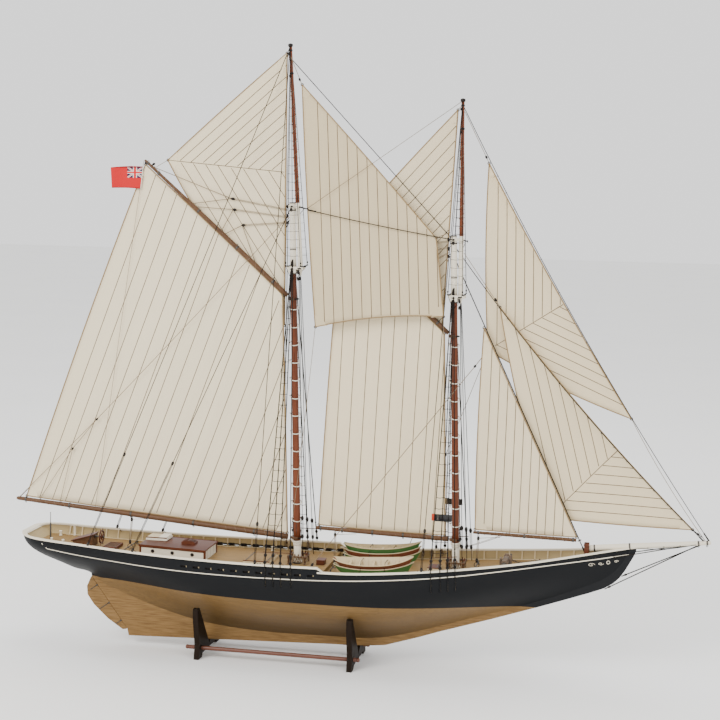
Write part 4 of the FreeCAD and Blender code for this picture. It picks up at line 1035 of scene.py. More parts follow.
# grating hatch
gx0, gx1, gz = -287.0, -271.0, deck_z(-279.0)
for y in (-13.0, 11.6):
    fittings.box((gx0, y, gz), (gx1, y + 1.4, gz + 3.4), 0, 0.2)
for x in (gx0, gx1 - 1.4):
    fittings.box((x, -13.0, gz), (x + 1.4, 13.0, gz + 3.4), 0, 0.2)
for k in range(11):
    y = -10.6 + 2.1 * k
    fittings.box((gx0 + 1, y - 0.4, gz + 2.2), (gx1 - 1, y + 0.4, gz + 3.1), 1, 0.1)
for k in range(6):
    x = gx0 + 2.6 + 2.2 * k
    fittings.box((x - 0.35, -12, gz + 1.9), (x + 0.35, 12, gz + 2.9), 1, 0.1)
# cargo hatches with battened covers
for x0, x1, half, low in ((-117.0, -86.0, 20.0, 4.1), (92.0, 106.0, 9.0, 4.4)):
    z = deck_z((x0 + x1) / 2)
    fittings.box((x0, -half, z - 0.4), (x1, half, z + low - 0.8), 2, 0.3)
    boards = 6
    for k in range(boards):
        y = -half + 0.6 + (2 * half - 1.2) * k / boards
        fittings.box(
            (x0 + 0.6, y + 0.08, z + low - 0.8),
            (x1 - 0.6, y + (2 * half - 1.2) / boards - 0.08, z + low), 5 if half > 12 else 0, 0.2
        )
    for y in (-half, half - 0.8):
        fittings.box((x0, y, z + low - 1.2), (x1, y + 0.8, z + low + 0.1), 0, 0.2)
    for x in (x0 + 3.0, x1 - 4.0):
        fittings.box((x, -half - 0.2, z + low), (x + 1.0, half + 0.2, z + low + 0.5), 4, 0.15)
# box before the main hatch
z = deck_z(-30.0)
fittings.box((-35, -6, z - 0.2), (-26, 6, z + 4.9), 0, 0.4)
fittings.box((-35.6, -6.6, z + 4.9), (-25.4, 6.6, z + 5.8), 0, 0.25)
fittings.make(
    "deck_hatches", "ship",
    looks("mahogany", "spar_wood", "cream", "block_black", "dark_metal", "deck_planks"),
    "mahogany", ["hatches"], bevel=0.1,
)

ports = Piece()
for sy in (-1, 1):
    for x, z in ((-222.3, 117.6), (-199.0, 116.9), (-175.4, 116.3)):
        ports.ring((x, sy * (CY + 0.25), z), (0, 1, 0), 1.75, 0.42, 0, 20, 8)
        ports.lathe(
            (x, sy * (CY - 0.1), z), (0, sy, 0), [(0.0, 1.6), (0.2, 1.55), (0.28, 0.9), (0.3, 0.1)], 18, 1
        )
        for k in range(6):
            a = math.pi * k / 3
            ports.ball(
                (x + 1.75 * math.cos(a), sy * (CY + 0.6), z + 1.75 * math.sin(a)),
                0.14, 0, 1.0, (0, 1, 0), 6
            )
ports.make("porthole_rings", "ship", looks("dark_metal", "block_black"), "dark_metal", ["portholes"])

# ---------------------------------------------------------------- wheel and its box
case = Piece()
for y in (-9.0, 8.0):
    case.prism(
        [(-325, deck_z(-325) - 0.2), (-325, 119.4), (-301, 126.6), (-301, deck_z(-301) - 0.2)],
        y, y + 1.0, 0
    )
case.box((-325, -8.2, deck_z(-325)), (-324, 8.2, 119.2), 0, 0.2)
case.box((-302, -8.2, deck_z(-301)), (-301, 8.2, 126.4), 0, 0.2)
for k in range(4):
    for y in (-9.18, 9.0):
        x = -321.0 + 5.0 * k
        case.box((x, y, deck_z(x)), (x + 0.3, y + 0.18, 119.6 + (x + 325) * 0.3), 1, 0.05)
case.lathe(
    (-301.2, 0, 124.3), (1, 0, 0),
    [(0, 2.2), (0.7, 2.2), (1.0, 1.2), (7.8, 0.8), (10.3, 0.8), (10.35, 1.4), (11.2, 1.4), (11.4, 0.8)],
    18, 2
)
case.make(
    "wheel_box_case", "ship", looks("spar_wood", "mahogany", "dark_metal"),
    "mahogany", ["wheel_box"], bevel=0.1
)

helm = Piece()
WX, WZ = -292.8, 124.3
helm.ring((WX, 0, WZ), (1, 0, 0), 7.4, 0.62, 0, 48, 8, 0.8)
helm.ring((WX - 0.75, 0, WZ), (1, 0, 0), 7.4, 0.32, 1, 48, 6, 0.16)
helm.ring((WX + 0.75, 0, WZ), (1, 0, 0), 7.4, 0.32, 1, 48, 6, 0.16)
helm.ring((WX, 0, WZ), (1, 0, 0), 1.45, 0.55, 0, 24, 8, 1.35)
for k in range(8):
    a = math.radians(22.5 + 45.0 * k)
    out = (0, math.cos(a), math.sin(a))
    helm.lathe(
        (WX, 0, WZ), out,
        [
            (1.5, 0.5), (2.6, 0.34), (3.4, 0.55), (4.4, 0.34), (6.6, 0.42),
            (8.2, 0.3), (8.7, 0.42), (9.5, 0.5), (10.1, 0.36), (10.2, 0.1)
        ],
        10, 0,
    )
helm.make("helm_wheel", "steering_wheel", looks("mahogany", "dark_metal"), "mahogany", ["steering_wheel"])

# ---------------------------------------------------------------- bitts, staff and rails
bitts = Piece()
for sy in (-1, 1):
    for x, y, h in ((-354.0, 26.0, 6.0), (-318.0, 37.0, 5.0), (-100.0, 50.0, 5.0)):
        z = deck_z(x)
        bitts.lathe(
            (x, sy * y, z), (0, 0, 1),
            [(0, 2.0), (0.6, 2.0), (0.8, 1.35), (h - 1.6, 1.2), (h - 1.2, 1.9), (h - 0.4, 1.9), (h, 1.1)],
            16, 0
        )
    for x, y, h in ((-340.0, 35.0, 13.0),):
        z = deck_z(x)
        bitts.lathe(
            (x, sy * y, z), (0, 0, 1),
            [(0, 1.7), (0.6, 1.7), (0.8, 1.3), (h - 1.4, 1.3), (h - 1.0, 1.6), (h - 0.3, 1.5), (h, 0.6)],
            14, 0
        )
bitts.lathe(
    (-356, 0, deck_z(-356)), (0, 0, 1),
    [
        (0, 1.8), (0.8, 1.8), (1.2, 1.0), (19.8, 0.9), (20.3, 0.5),
        (32.0, 0.35), (32.3, 0.7), (32.9, 0.7), (33.2, 0.1)
    ],
    12, 1
)
bitts.ball((-340.5, 0, deck_z(-340) + 1.6), 2.0, 0, 0.8)
z = deck_z(266.0)
bitts.box((263.4, -3, z - 0.5), (268.8, 3, 147.0 - 3.3), 2, 0.4)
for sy in (-1, 1):
    low, high = sorted((sy * 3.6, sy * 5.2))
    bitts.box((263.4, low, z - 0.5), (268.8, high, 153.4), 2, 0.5)
bitts.box((262.9, -7.4, 151.2), (264.4, 7.4, 152.6), 2, 0.3)
bitts.make(
    "mooring_bitts", "ship", looks("white_paint", "dark_metal", "mahogany"),
    "white_paint", ["deck_posts"], bevel=0.12
)
# ---------------------------------------------------------------- masts
def world_tree(*nodes):
    """Ray-test tree of CAD nodes, in millimetres."""
    verts = []
    faces = []
    for name in nodes:
        node = frame["nodes"][name]
        base = len(verts)
        verts.extend(tuple((node.matrix_world @ v.co) / MM) for v in node.data.vertices)
        faces.extend(tuple(base + i for i in p.vertices) for p in node.data.polygons)
    return BVHTree.FromPolygons(verts, faces)


def helix(piece, p, q, radii, turns, line, mat, sides=4):
    """Line wound round the bar from p to q; radii are the bar's at each end."""
    p = Vector(p)
    q = Vector(q)
    axis = (q - p).normalized()
    side = axis.cross(Vector((0, 1, 0)))
    side.normalize()
    other = axis.cross(side)
    points = []
    steps = int(turns * 10)
    for i in range(steps + 1):
        t = i / steps
        a = 2 * math.pi * turns * t
        r = radii[0] + (radii[1] - radii[0]) * t + line * 0.6
        points.append(p.lerp(q, t) + (side * math.cos(a) + other * math.sin(a)) * r)
    piece.tube(points, line, sides, mat)


def hanging(p, q, sag, steps=10):
    """Points of a line from p to q that hangs by sag at the middle."""
    p = Vector(p)
    q = Vector(q)
    chord = q - p
    down = Vector((0, 1, 0)).cross(chord).normalized()
    if down.z > 0:
        down = -down
    return [
        p + chord * (i / steps) + down * (4 * sag * (i / steps) * (1 - i / steps))
        for i in range(steps + 1)
    ]


def mast_radius(z, cap_z):
    """Radius of a lower mast at height z."""
    return MAST_R[0] + (MAST_R[1] - MAST_R[0]) * (z - 92.0) / (cap_z - 92.0)


MASTS = (
    (main_x, MAIN_TREES_Z, MAIN_CAP_Z, MAIN_HEEL, MAIN_TRUCK, 138.8),
    (fore_x, FORE_TREES_Z, FORE_CAP_Z, FORE_HEEL, FORE_TRUCK, 148.0),
)
lower = Piece()
upper = Piece()
irons = Piece()
for mast_x, trees_z, cap_z, heel, truck, jaw_z in MASTS:
    foot = Vector((mast_x(92), 0, 92))
    axis = Vector((mast_x(cap_z), 0, cap_z)) - foot
    reach = axis.length
    axis.normalize()

    def band(z0, z1, extra, mat, sides=20):
        """Collar round the lower mast between two heights."""
        scale = reach / (cap_z - 92.0)
        rows = [
            ((z0 - 92) * scale, mast_radius(z0, cap_z)),
            ((z0 - 92) * scale + 0.25, mast_radius(z0, cap_z) + extra)
        ]
        rows += [
            ((z1 - 92) * scale - 0.25, mast_radius(z1, cap_z) + extra),
            ((z1 - 92) * scale, mast_radius(z1, cap_z))
        ]
        lower.lathe(foot, axis, rows, sides, mat)

    deck = deck_z(mast_x(115))
    for z0, z1, mat in ((92.0, jaw_z - 3.4, 1), (jaw_z - 3.4, trees_z, 0), (trees_z, cap_z, 1)):
        scale = reach / (cap_z - 92.0)
        count = max(2, int((z1 - z0) / 12))
        rows = []
        for i in range(count + 1):
            z = z0 + (z1 - z0) * i / count
            rows.append(((z - 92) * scale, mast_radius(z, cap_z) - 0.02))
        lower.lathe(foot, axis, rows, 20, mat)
    band(deck - 0.2, deck + 1.2, 1.7, 3)
    band(deck + 1.2, deck + 3.4, 0.9, 1)
    band(jaw_z - 5.6, jaw_z - 3.2, 1.5, 1)
    band(jaw_z - 8.6, jaw_z - 5.6, 0.7, 1)
    band(trees_z - 9.0, trees_z - 5.6, 0.35, 3)
    band(cap_z - 8.8, cap_z - 7.4, 0.35, 3)
    band(trees_z + 18.0, trees_z + 19.2, 0.3, 3)
    band(cap_z - 0.6, cap_z + 0.7, 0.15, 3)
    for z in (jaw_z + 8.0, jaw_z + 14.0):
        for sy in (-1, 1):
            place = Vector((mast_x(z), sy * (mast_radius(z, cap_z) + 0.5), z))
            lower.tube([place + axis * -2.6, place + axis * 2.6], [0.3, 0.3], 6, 3)

    # topmast: heel below the trees, doubling, pole and truck
    start = Vector((heel[0], 0, heel[1]))
    end = Vector((truck[0], 0, truck[1]))
    run = end - start
    length = run.length
    run.normalize()
    double = (cap_z - heel[1]) * length / (truck[1] - heel[1])

    def pole(d):
        return TOPMAST_R[0] + (TOPMAST_R[1] - TOPMAST_R[0]) * d / length

    upper.lathe(
        start, run,
        [(-11.0, 0.25), (-9.0, 0.9), (-5.0, 1.9), (0.0, pole(0) - 0.1), (double, pole(double))], 18, 1
    )
    rows = [(double, pole(double))]
    rows += [
        (double + (length - 4.0 - double) * i / 10, pole(double + (length - 4.0 - double) * i / 10))
        for i in range(1, 11)
    ]
    upper.lathe(start, run, rows, 18, 0)
    upper.lathe(
        start, run,
        [(length - 9.0, 1.7), (length - 8.6, 2.2), (length - 7.4, 2.2), (length - 7.0, 1.7)], 14, 2
    )
    upper.lathe(
        start, run,
        [
            (length - 4.2, 1.8), (length - 3.6, 2.7), (length - 1.6, 2.8),
            (length - 0.9, 2.2), (length - 0.3, 0.6)
        ],
        14, 2
    )
    upper.lathe(
        start, run,
        [(length - 34.0, 1.95), (length - 33.6, 2.4), (length - 32.2, 2.4), (length - 31.8, 1.95)], 14, 2
    )
    helix(
        upper, start + run * (double + 8.0), start + run * (length - 44.0),
        (pole(double), pole(length - 44.0)), 9.0, 0.28, 3
    )
    for d, sy in ((length - 33.0, -1), (length - 33.0, 1), (length - 9.0, -1)):
        upper.block(start + run * (d - 3.0) + Vector((-1.6, sy * 2.9, 0)), run, 1.3, 2, 2)

    # trestletrees, crosstrees, cap and the iron crane
    z = heel[1]
    x_low = mast_x(z)
    for sy in (-1, 1):
        y0, y1 = sorted((sy * 3.9, sy * 5.5))
        irons.box((x_low - 6.0, y0, z - 3.6), (x_low + 12.5, y1, z - 0.2), 0, 0.5)
        for x in (x_low - 4.8, heel[0] + 3.9):
            arm = [(x, sy * 3.0, z), (x, sy * 10.0, z + 0.2), (x, sy * TREE_SPREAD, z + 0.9)]
            irons.tube(arm, [0.95, 0.85, 0.6], 8, 1)
            irons.ball((x, sy * TREE_SPREAD, z + 0.9), 0.95, 1)
            irons.tube([(x, sy * TREE_SPREAD, z + 0.9), (x_low, sy * 4.4, z - 17.0)], 0.28, 5, 2)
        irons.box(
            (x_low - 4.4, min(sy * 3.9, sy * 5.9), z - 7.6),
            (x_low + 4.4, max(sy * 3.9, sy * 5.9), z - 3.6), 0, 0.9
        )
    irons.box((heel[0] - 2.4, -5.6, z - 3.2), (heel[0] + 2.4, 5.6, z - 1.6), 1, 0.2)
    irons.box((x_low - 6.2, -5.7, z - 0.5), (x_low - 3.6, 5.7, z + 0.4), 1, 0.2)
    top_x = along(heel, truck, cap_z)
    low_x = mast_x(cap_z)
    for centre, r in ((low_x, mast_radius(cap_z, cap_z) + 1.0), (top_x, pole(double) + 1.0)):
        irons.lathe(
            (centre, 0, cap_z - 5.5), (0, 0, 1),
            [(0.0, r - 0.3), (0.2, r), (2.8, r), (3.0, r - 0.3)], 18, 0
        )
    irons.box((low_x, -2.6, cap_z - 5.4), (top_x, 2.6, cap_z - 2.6), 0, 0.3)
    irons.tube([(low_x + 1.0, -8.8, cap_z - 4.0), (low_x + 1.0, 8.8, cap_z - 4.0)], [0.8, 0.8], 8, 1)
    crane = Vector((-50.5, -11.4, 509.6)) if mast_x is main_x else Vector((top_x + 7.5, -4.0, cap_z - 5.4))
    root = Vector((top_x, 0, cap_z - 4.0))
    irons.tube([root, root.lerp(crane, 0.5), crane], [0.9, 0.8, 0.65], 8, 1)
    irons.ring(crane, (1, 0, 0), 1.2, 0.35, 1, 12, 5)
    irons.tube([root.lerp(crane, 0.7), root + Vector((3.0, -1.0, -8.0))], 0.35, 5, 1)
    for sy in (-1, 1):
        irons.ball((low_x + 1.0, sy * 8.8, cap_z - 4.0), 1.15, 1)
        irons.block((low_x + 1.0, sy * 8.8, cap_z - 7.6), (0, 0, 1), 1.7, 1, 1)
    for drop in (2.0, 12.0, 20.0):
        place = Vector((mast_x(cap_z - drop) - 5.6, 0, cap_z - drop - 2.4))
        irons.block(place, (-0.3, 0, 1), 1.7, 1, 1)
        irons.tube(
            [(mast_x(cap_z - drop) - 3.2, 0, cap_z - drop + 0.4), place + Vector((0, 0, 1.6))], 0.45, 6, 1
        )
    for sy in (-1, 1):
        for drop in (4.0, 11.0):
            place = Vector((x_low + 6.6, sy * 4.2, z - 3.0 - drop))
            irons.block(place, (0, 0, 1), 1.6, 1, 1)
lower.make(
    "lower_mast_poles", "ship", looks("mast_wood", "white_paint", "pale_line", "dark_metal"),
    "mast_wood", ["lower_masts"]
)
upper.make(
    "topmast_poles", "ship", looks("mast_wood", "white_paint", "block_black", "pale_line"),
    "mast_wood", ["topmasts"]
)
irons.make(
    "mast_top_irons", "ship", looks("white_paint", "block_black", "dark_line"),
    "white_paint", ["mast_tops"]
)

random.seed(11)
hoops = Piece()
for mast_x, z0, count in ((main_x, 160.0, 13), (fore_x, 165.0, 11)):
    for i in range(count):
        z = z0 + 20.0 * i
        tilt = Vector((0.12 + random.uniform(-0.05, 0.05), -0.36 + random.uniform(-0.08, 0.05), 1.0))
        hoops.ring((mast_x(z) - 0.2, 0, z - 0.2), tilt, 5.5, 0.5, 0, 22, 6, 0.62)
        hoops.ring((mast_x(z) - 5.6, 0, z + 0.6), (0.2, 0, 1), 0.75, 0.4, 1, 8, 5)
hoops.make("mast_hoop_rings", "ship", looks("white_paint", "dark_line"), "white_paint", ["mast_hoops"])

# ---------------------------------------------------------------- standing rigging
rail_tree = world_tree("cap_rail")


def rail_edge(x):
    """Port half-breadth of the cap rail at x."""
    hit = rail_tree.ray_cast((x, 150.0, rail_z(x) - 0.8), (0, -1, 0))[0]
    return hit.y if hit is not None else half_breadth(x, rail_z(x)) + 1.0


lines = Piece()
deadeyes = Piece()
for mast_x, top_z, foot_x, offsets in (
    (main_x, MAIN_TREES_Z + 5.0, -59.0, (-20.5, -11.7, -3.0, 8.5)),
    (fore_x, FORE_TREES_Z + 5.0, 122.0, (-19.5, -9.5, -1.5, 6.5)),
):
    for sy in (-1, 1):
        legs = []
        for k, dx in enumerate(offsets):
            x = foot_x + dx
            z = rail_z(x)
            y = rail_edge(x) + 1.0
            foot = Vector((x, sy * y, z + 0.8))
            head = Vector((mast_x(top_z) - 1.0 + 0.4 * k, sy * 3.4, top_z + 0.8 * k))
            lean = (head - foot).normalized()
            out = Vector((0, sy, 0)) - lean * (sy * lean.y)
            out.normalize()
            low = foot + lean * 2.2
            high = foot + lean * 10.5
            for centre in (low, high):
                deadeyes.lathe(
                    centre - out * 0.8, out, [(0, 0.9), (0.25, 1.65), (1.35, 1.65), (1.6, 0.9)], 14, 0
                )
                deadeyes.ring(centre, out, 1.72, 0.22, 1, 16, 5)
                for a in (90, 210, 330):
                    spot = centre + lean * (
                        0.85 * math.sin(math.radians(a))
                    ) + lean.cross(out) * (0.85 * math.cos(math.radians(a)))
                    deadeyes.ball(spot + out * 0.85, 0.3, 2, sides=6)
            for shift in (-0.85, 0.0, 0.85):
                sideways = lean.cross(out) * shift
                deadeyes.tube([low + sideways + out * 0.95, high + sideways + out * 0.95], 0.26, 5, 2)
                deadeyes.tube([low + sideways - out * 0.95, high - sideways - out * 0.95], 0.26, 5, 2)
            lines.tube([high + lean * 1.2, head], 0.58, 6, 0)
            lines.tube([high + lean * 1.6, high + lean * 9.0], 0.8, 6, 0)
            lines.tube([high + lean * 10.5, high + lean * 12.0], 0.95, 6, 0)
            lines.tube([head - lean * 22.0, head], 0.75, 6, 0)
            legs.append((high, head))
            near = skin(x, z - 12.0, sy, 0.7)
            far = skin(x, z - 24.0, sy, 0.7)
            deadeyes.tube([foot + Vector((0, 0, 1.8)), near, far], [0.55, 0.6, 0.6], 6, 3)
            for spot in (near, far):
                deadeyes.ball(spot, 0.85, 3, sides=8)
        # ratlines across the three after shrouds, and a batten above the deadeyes
        z = legs[0][0].z + 9.0
        number = 0
        while z < top_z - 12.0:
            row = []
            for high, head in legs[:3]:
                t = (z - high.z) / (head.z - high.z)
                row.append(high.lerp(head, t))
            points = []
            for a, b in zip(row, row[1:]):
                sag = 0.09 * (b - a).length
                points += [a, a.lerp(b, 0.5) - Vector((0, 0, sag + 0.15 * ((number * 7) % 3)))]
            points.append(row[-1])
            lines.tube(points, 0.33, 4, 0)
            for spot in row:
                lines.ball(spot, 0.72, 0, sides=6)
            z += 11.8
            number += 1
        batten = [high + (head - high).normalized() * 3.2 for high, head in legs]
        lines.tube([batten[0] - Vector((2.5, 0, 0)), batten[-1] + Vector((2.5, 0, 0))], 0.5, 6, 1)

for mast_x, trees_z, cap_z, heel, truck, jaw_z in MASTS:
    z = heel[1]
    head_z = truck[1] - 8.0
    head_x = along(heel, truck, head_z)
    for sy in (-1, 1):
        for x in (mast_x(z) - 4.8, heel[0] + 3.9):
            lines.tube([(x, sy * (TREE_SPREAD - 0.4), z + 0.9), (head_x, sy * 2.2, head_z)], 0.36, 5, 0)
            lines.ball((x, sy * (TREE_SPREAD - 0.6), z + 4.0), 0.9, 0, 1.5, sides=8)
    # rungs between the two topmast shrouds of each side
    rung_z = z + 12.0
    while rung_z < head_z - 24.0:
        t = (rung_z - z) / (head_z - z)
        after = (mast_x(z) - 4.8) * (1 - t) + head_x * t
        ahead = (heel[0] + 3.9) * (1 - t) + head_x * t
        y = (TREE_SPREAD - 0.4) * (1 - t) + 2.2 * t
        for sy in (-1, 1):
            lines.tube(
                [
                    (after, sy * y, rung_z),
                    ((after + ahead) / 2, sy * y, rung_z - 0.6), (ahead, sy * y, rung_z)
                ],
                0.26, 4, 0
            )
        rung_z += 9.0

JUMBO_STAY = (Vector((fore_x(455.0) + 3.0, 0, 455.0)), Vector((264.42, 0, 142.5)))
JIB_STAY = (Vector((fore_x(470.0) + 3.0, 0, 470.0)), Vector((391.5, 0, 162.2)))
TOP_STAY = (Vector((117.0, 0, 624.0)), Vector((396.5, 0, 163.0)))
lines.tube([*JUMBO_STAY], 0.62, 6, 0)
lines.tube(hanging(*JIB_STAY, 9.0, 24), 0.5, 6, 0)
lines.tube(hanging(*TOP_STAY, 9.0, 24), 0.45, 6, 0)
for stay in (JIB_STAY, TOP_STAY):
    pts = hanging(*stay, 9.0, 24)
    lines.tube([pts[-1], pts[-1].lerp(pts[-2], 0.5)], 0.9, 6, 0)
lines.tube([JUMBO_STAY[1], JUMBO_STAY[1].lerp(JUMBO_STAY[0], 0.02)], 1.0, 6, 0)
main_top_x = along(MAIN_HEEL, MAIN_TRUCK, 672.0)
cap_aft = Vector((-50.5, -11.4, 508.7))
fore_cap = Vector((109.8, -8.8, 480.2))
lines.tube([(main_top_x + 1.6, -1.2, 672.0), (108.0, -2.8, FORE_CAP_Z - 2.0)], 0.5, 6, 0)
lines.tube(hanging(cap_aft, fore_cap, 1.2, 12), 0.55, 6, 0)
lines.tube([cap_aft, cap_aft.lerp(fore_cap, 0.06)], [0.9, 0.9], 6, 0)
lines.tube([(-50.5, -11.4, 510.6), (115.5, -0.8, 628.6)], 0.3, 5, 2)
bob_ends = (((391.0, 0, 161.0), (304.6, 0, 119.0)), ((388.0, 0, 160.6), (287.0, 0, 103.5)))
for a, b in bob_ends:
    lines.tube([a, b], 0.62, 6, 0)
    near = Vector(b).lerp(Vector(a), 0.05)
    lines.ball(near, 1.2, 0, 1.8, Vector(a) - Vector(b), 8)
for sy in (-1, 1):
    y = half_breadth(296.0, 141.0) + 1.2
    lines.tube([(390.0, 0, 161.5), (296.0, sy * y, 141.0)], 0.55, 6, 0)
    lines.ball((296.0, sy * (y + 0.1), 141.0), 1.0, 0, sides=8)

blocks = Piece()
for head, foot_x, share in (
    ((along(MAIN_HEEL, MAIN_TRUCK, 686.0), 2.4, 686.0), -291.0, 0.815),
    ((main_x(512.0) + 1.0, 8.6, 512.0), -236.0, 0.745),
    ((along(MAIN_HEEL, MAIN_TRUCK, 688.0), 2.2, 688.0), -91.5, 0.926),
    ((along(FORE_HEEL, FORE_TRUCK, 630.0), 2.0, 630.0), 92.5, 0.917),
):
    for sy in (-1, 1):
        top = Vector((head[0], sy * head[1], head[2]))
        foot = Vector((foot_x, sy * (half_breadth(foot_x, 200.0) - 0.5), rail_z(foot_x) + 2.2))
        mid = top.lerp(foot, share)
        line = (foot - top).normalized()
        blocks.block(mid, line, 1.9, 0, 1)
        blocks.block(foot, line, 1.9, 0, 1)
        blocks.ring(foot + line * 2.6, (0, 1, 0), 0.9, 0.3, 1, 12, 5)
        lines.tube([top, mid - line * 1.8], 0.42, 6, 0)
        for shift in (-0.9, 0.0, 0.9):
            lines.tube(
                [mid + Vector((shift, 0, 0)) + line * 1.8, foot + Vector((shift, 0, 0)) - line * 1.8],
                0.26, 5, 0
            )
        lines.tube([foot + Vector((0.9, 0, 0)), foot + Vector((7.0, -sy * 5.0, -5.5))], 0.26, 5, 0)
lines.make(
    "standing_lines", "ship", looks("dark_line", "spar_wood", "pale_line"), "dark_line",
    ["shrouds", "topmast_shrouds", "headstays", "mast_stays", "bobstays", "backstays"]
)
deadeyes.make(
    "deadeye_pairs", "ship", looks("block_black", "dark_metal", "dark_line", "topside_black"),
    "block_black", ["deadeyes", "chainplates"]
)
blocks.make(
    "runner_block_shells", "ship", looks("block_black", "dark_metal"), "block_black", ["runner_blocks"]
)

# halyards ahead of the masts, each with a two-block purchase above the fife rail
falls = Piece()
for mast_x, trees_z, cap_z, heel, truck, jaw_z in MASTS:
    base = mast_x(130.0)
    z = deck_z(base) + 9.6
    for k, y in enumerate((-4.6, 0.0, 4.6)):
        top = Vector((mast_x(trees_z) + 7.5, y * 0.9, trees_z - 6.0))
        foot = Vector((base + (8.2, 12.8, 17.4)[k], y * 1.5, z - 0.2))
        run = (top - foot).normalized()
        high = foot + run * (163.0 - z - 2.5 * k)
        low = foot + run * (142.0 - z - 1.5 * k)
        falls.tube([high, top], 0.4, 6, 0)
        falls.block(high, run, 2.2, 1, 1)
        falls.block(low, run, 2.0, 1, 1)
        falls.tube([foot, low], 0.4, 6, 1)
        for shift in (-1.0, 0.0, 1.0):
            falls.tube([high + Vector((shift, 0, 0)), low + Vector((shift, 0, 0))], 0.25, 5, 0)
        falls.tube([top, top + Vector((-3.5, 0, 2.5))], 0.36, 5, 0)
falls.make("mast_halyard_falls", "ship", looks("dark_line", "block_black"), "pale_line", ["halyards"])

# side-light boards lashed to the fore shrouds
boards = Piece()
for sy in (-1, 1):
    y0, y1 = sorted((sy * 43.7, sy * 45.2))
    boards.box((103.7, y0, 177.9), (122.8, y1, 184.9), 0, 0.3)
    boards.box(
        (100.6, min(sy * 43.5, sy * 45.6), 177.7),
        (103.7, max(sy * 43.5, sy * 45.6), 185.1), 1 if sy < 0 else 2, 0.3
    )
    boards.lathe(
        (107.7, sy * 46.9, 178.9), (0, 0, 1),
        [(0, 1.4), (0.3, 1.7), (0.9, 1.7), (1.0, 1.2), (4.0, 1.2), (4.3, 1.7), (5.0, 1.0)], 12, 3
    )
    boards.box((103.7, min(sy * 44.9, sy * 48.9), 177.9), (122.8, max(sy * 44.9, sy * 48.9), 178.7), 0, 0.2)
boards.make(
    "side_light_boards", "ship",
    [
        MATERIALS["board_paint"], paint("light_red", (0.45, 0.05, 0.02), 0.4, 0.3),
        paint("light_green", (0.03, 0.22, 0.07), 0.4, 0.3), MATERIALS["dark_metal"]
    ],
    "board_paint", ["side_lights"],
)

# ---------------------------------------------------------------- spars
def spar(piece, start, end, radii, mat):
    """Round spar swelling a little at its middle, with a rounded outer end."""
    start = Vector(start)
    end = Vector(end)
    run = end - start
    length = run.length
    rows = []
    for i in range(15):
        t = i / 14
        r = radii[0] + (radii[1] - radii[0]) * t + 0.12 * math.sin(math.pi * t) * radii[0]
        rows.append((length * t * 0.994, r))
    rows.append((length, radii[1] * 0.62))
    piece.lathe(start, run, rows, 16, mat)
    return run.normalized()


def jaw_arms(piece, mast_x, z, radius, mat, leather):
    """Two curved cheeks round the mast, with a parrel line of beads across the front."""
    inner = radius + 0.5
    outer = radius + 3.1
    for z0, z1 in ((z - 1.4, z + 1.4),):
        rows = []
        for height, r_in, r_out in (
            (z0, inner + 0.1, outer - 0.3), (z0 + 0.3, inner, outer),
            (z1 - 0.3, inner, outer), (z1, inner + 0.1, outer - 0.3)
        ):
            rows.append((height, r_in, r_out))
        ring = []
        for i in range(25):
            a = math.radians(72 + 216 * i / 24)
            section = [
                Vector((mast_x(h) + r_out * math.cos(a), r_out * math.sin(a), h)) for h,
                r_in, r_out in rows
            ]
            section += [
                Vector((mast_x(h) + r_in * math.cos(a), r_in * math.sin(a), h)) for h,
                r_in, r_out in reversed(rows)
            ]
            ring.append(section)
        piece.strip(ring, mat, closed=True)
        base = len(piece.verts) - 25 * 8
        piece.faces += [tuple(base + i for i in range(7, -1, -1)), tuple(base + 24 * 8 + i for i in range(8))]
        piece.mats += [mat, mat]
        piece.flat += [True, True]
    line = []
    for i in range(9):
        a = math.radians(-70 + 140 * i / 8)
        p = Vector((mast_x(z) + (radius + 1.6) * math.cos(a), (radius + 1.6) * math.sin(a), z))
        line.append(p)
        if 0 < i < 8:
            piece.ball(p, 0.85, leather, sides=8)
    piece.tube(line, 0.25, 5, leather)


def spar_band(piece, start, end, t, radii, mat, width=1.1, extra=0.35):
    """Iron band round a spar at a fraction of its length."""
    start = Vector(start)
    end = Vector(end)
    run = (end - start).normalized()
    centre = start.lerp(end, t)
    r = radii[0] + (radii[1] - radii[0]) * t + 0.12 * math.sin(math.pi * t) * radii[0] + extra
    piece.lathe(
        centre - run * width, run,
        [(0, r - 0.3), (0.15, r), (2 * width - 0.15, r), (2 * width, r - 0.3)], 16, mat
    )
    return centre, r


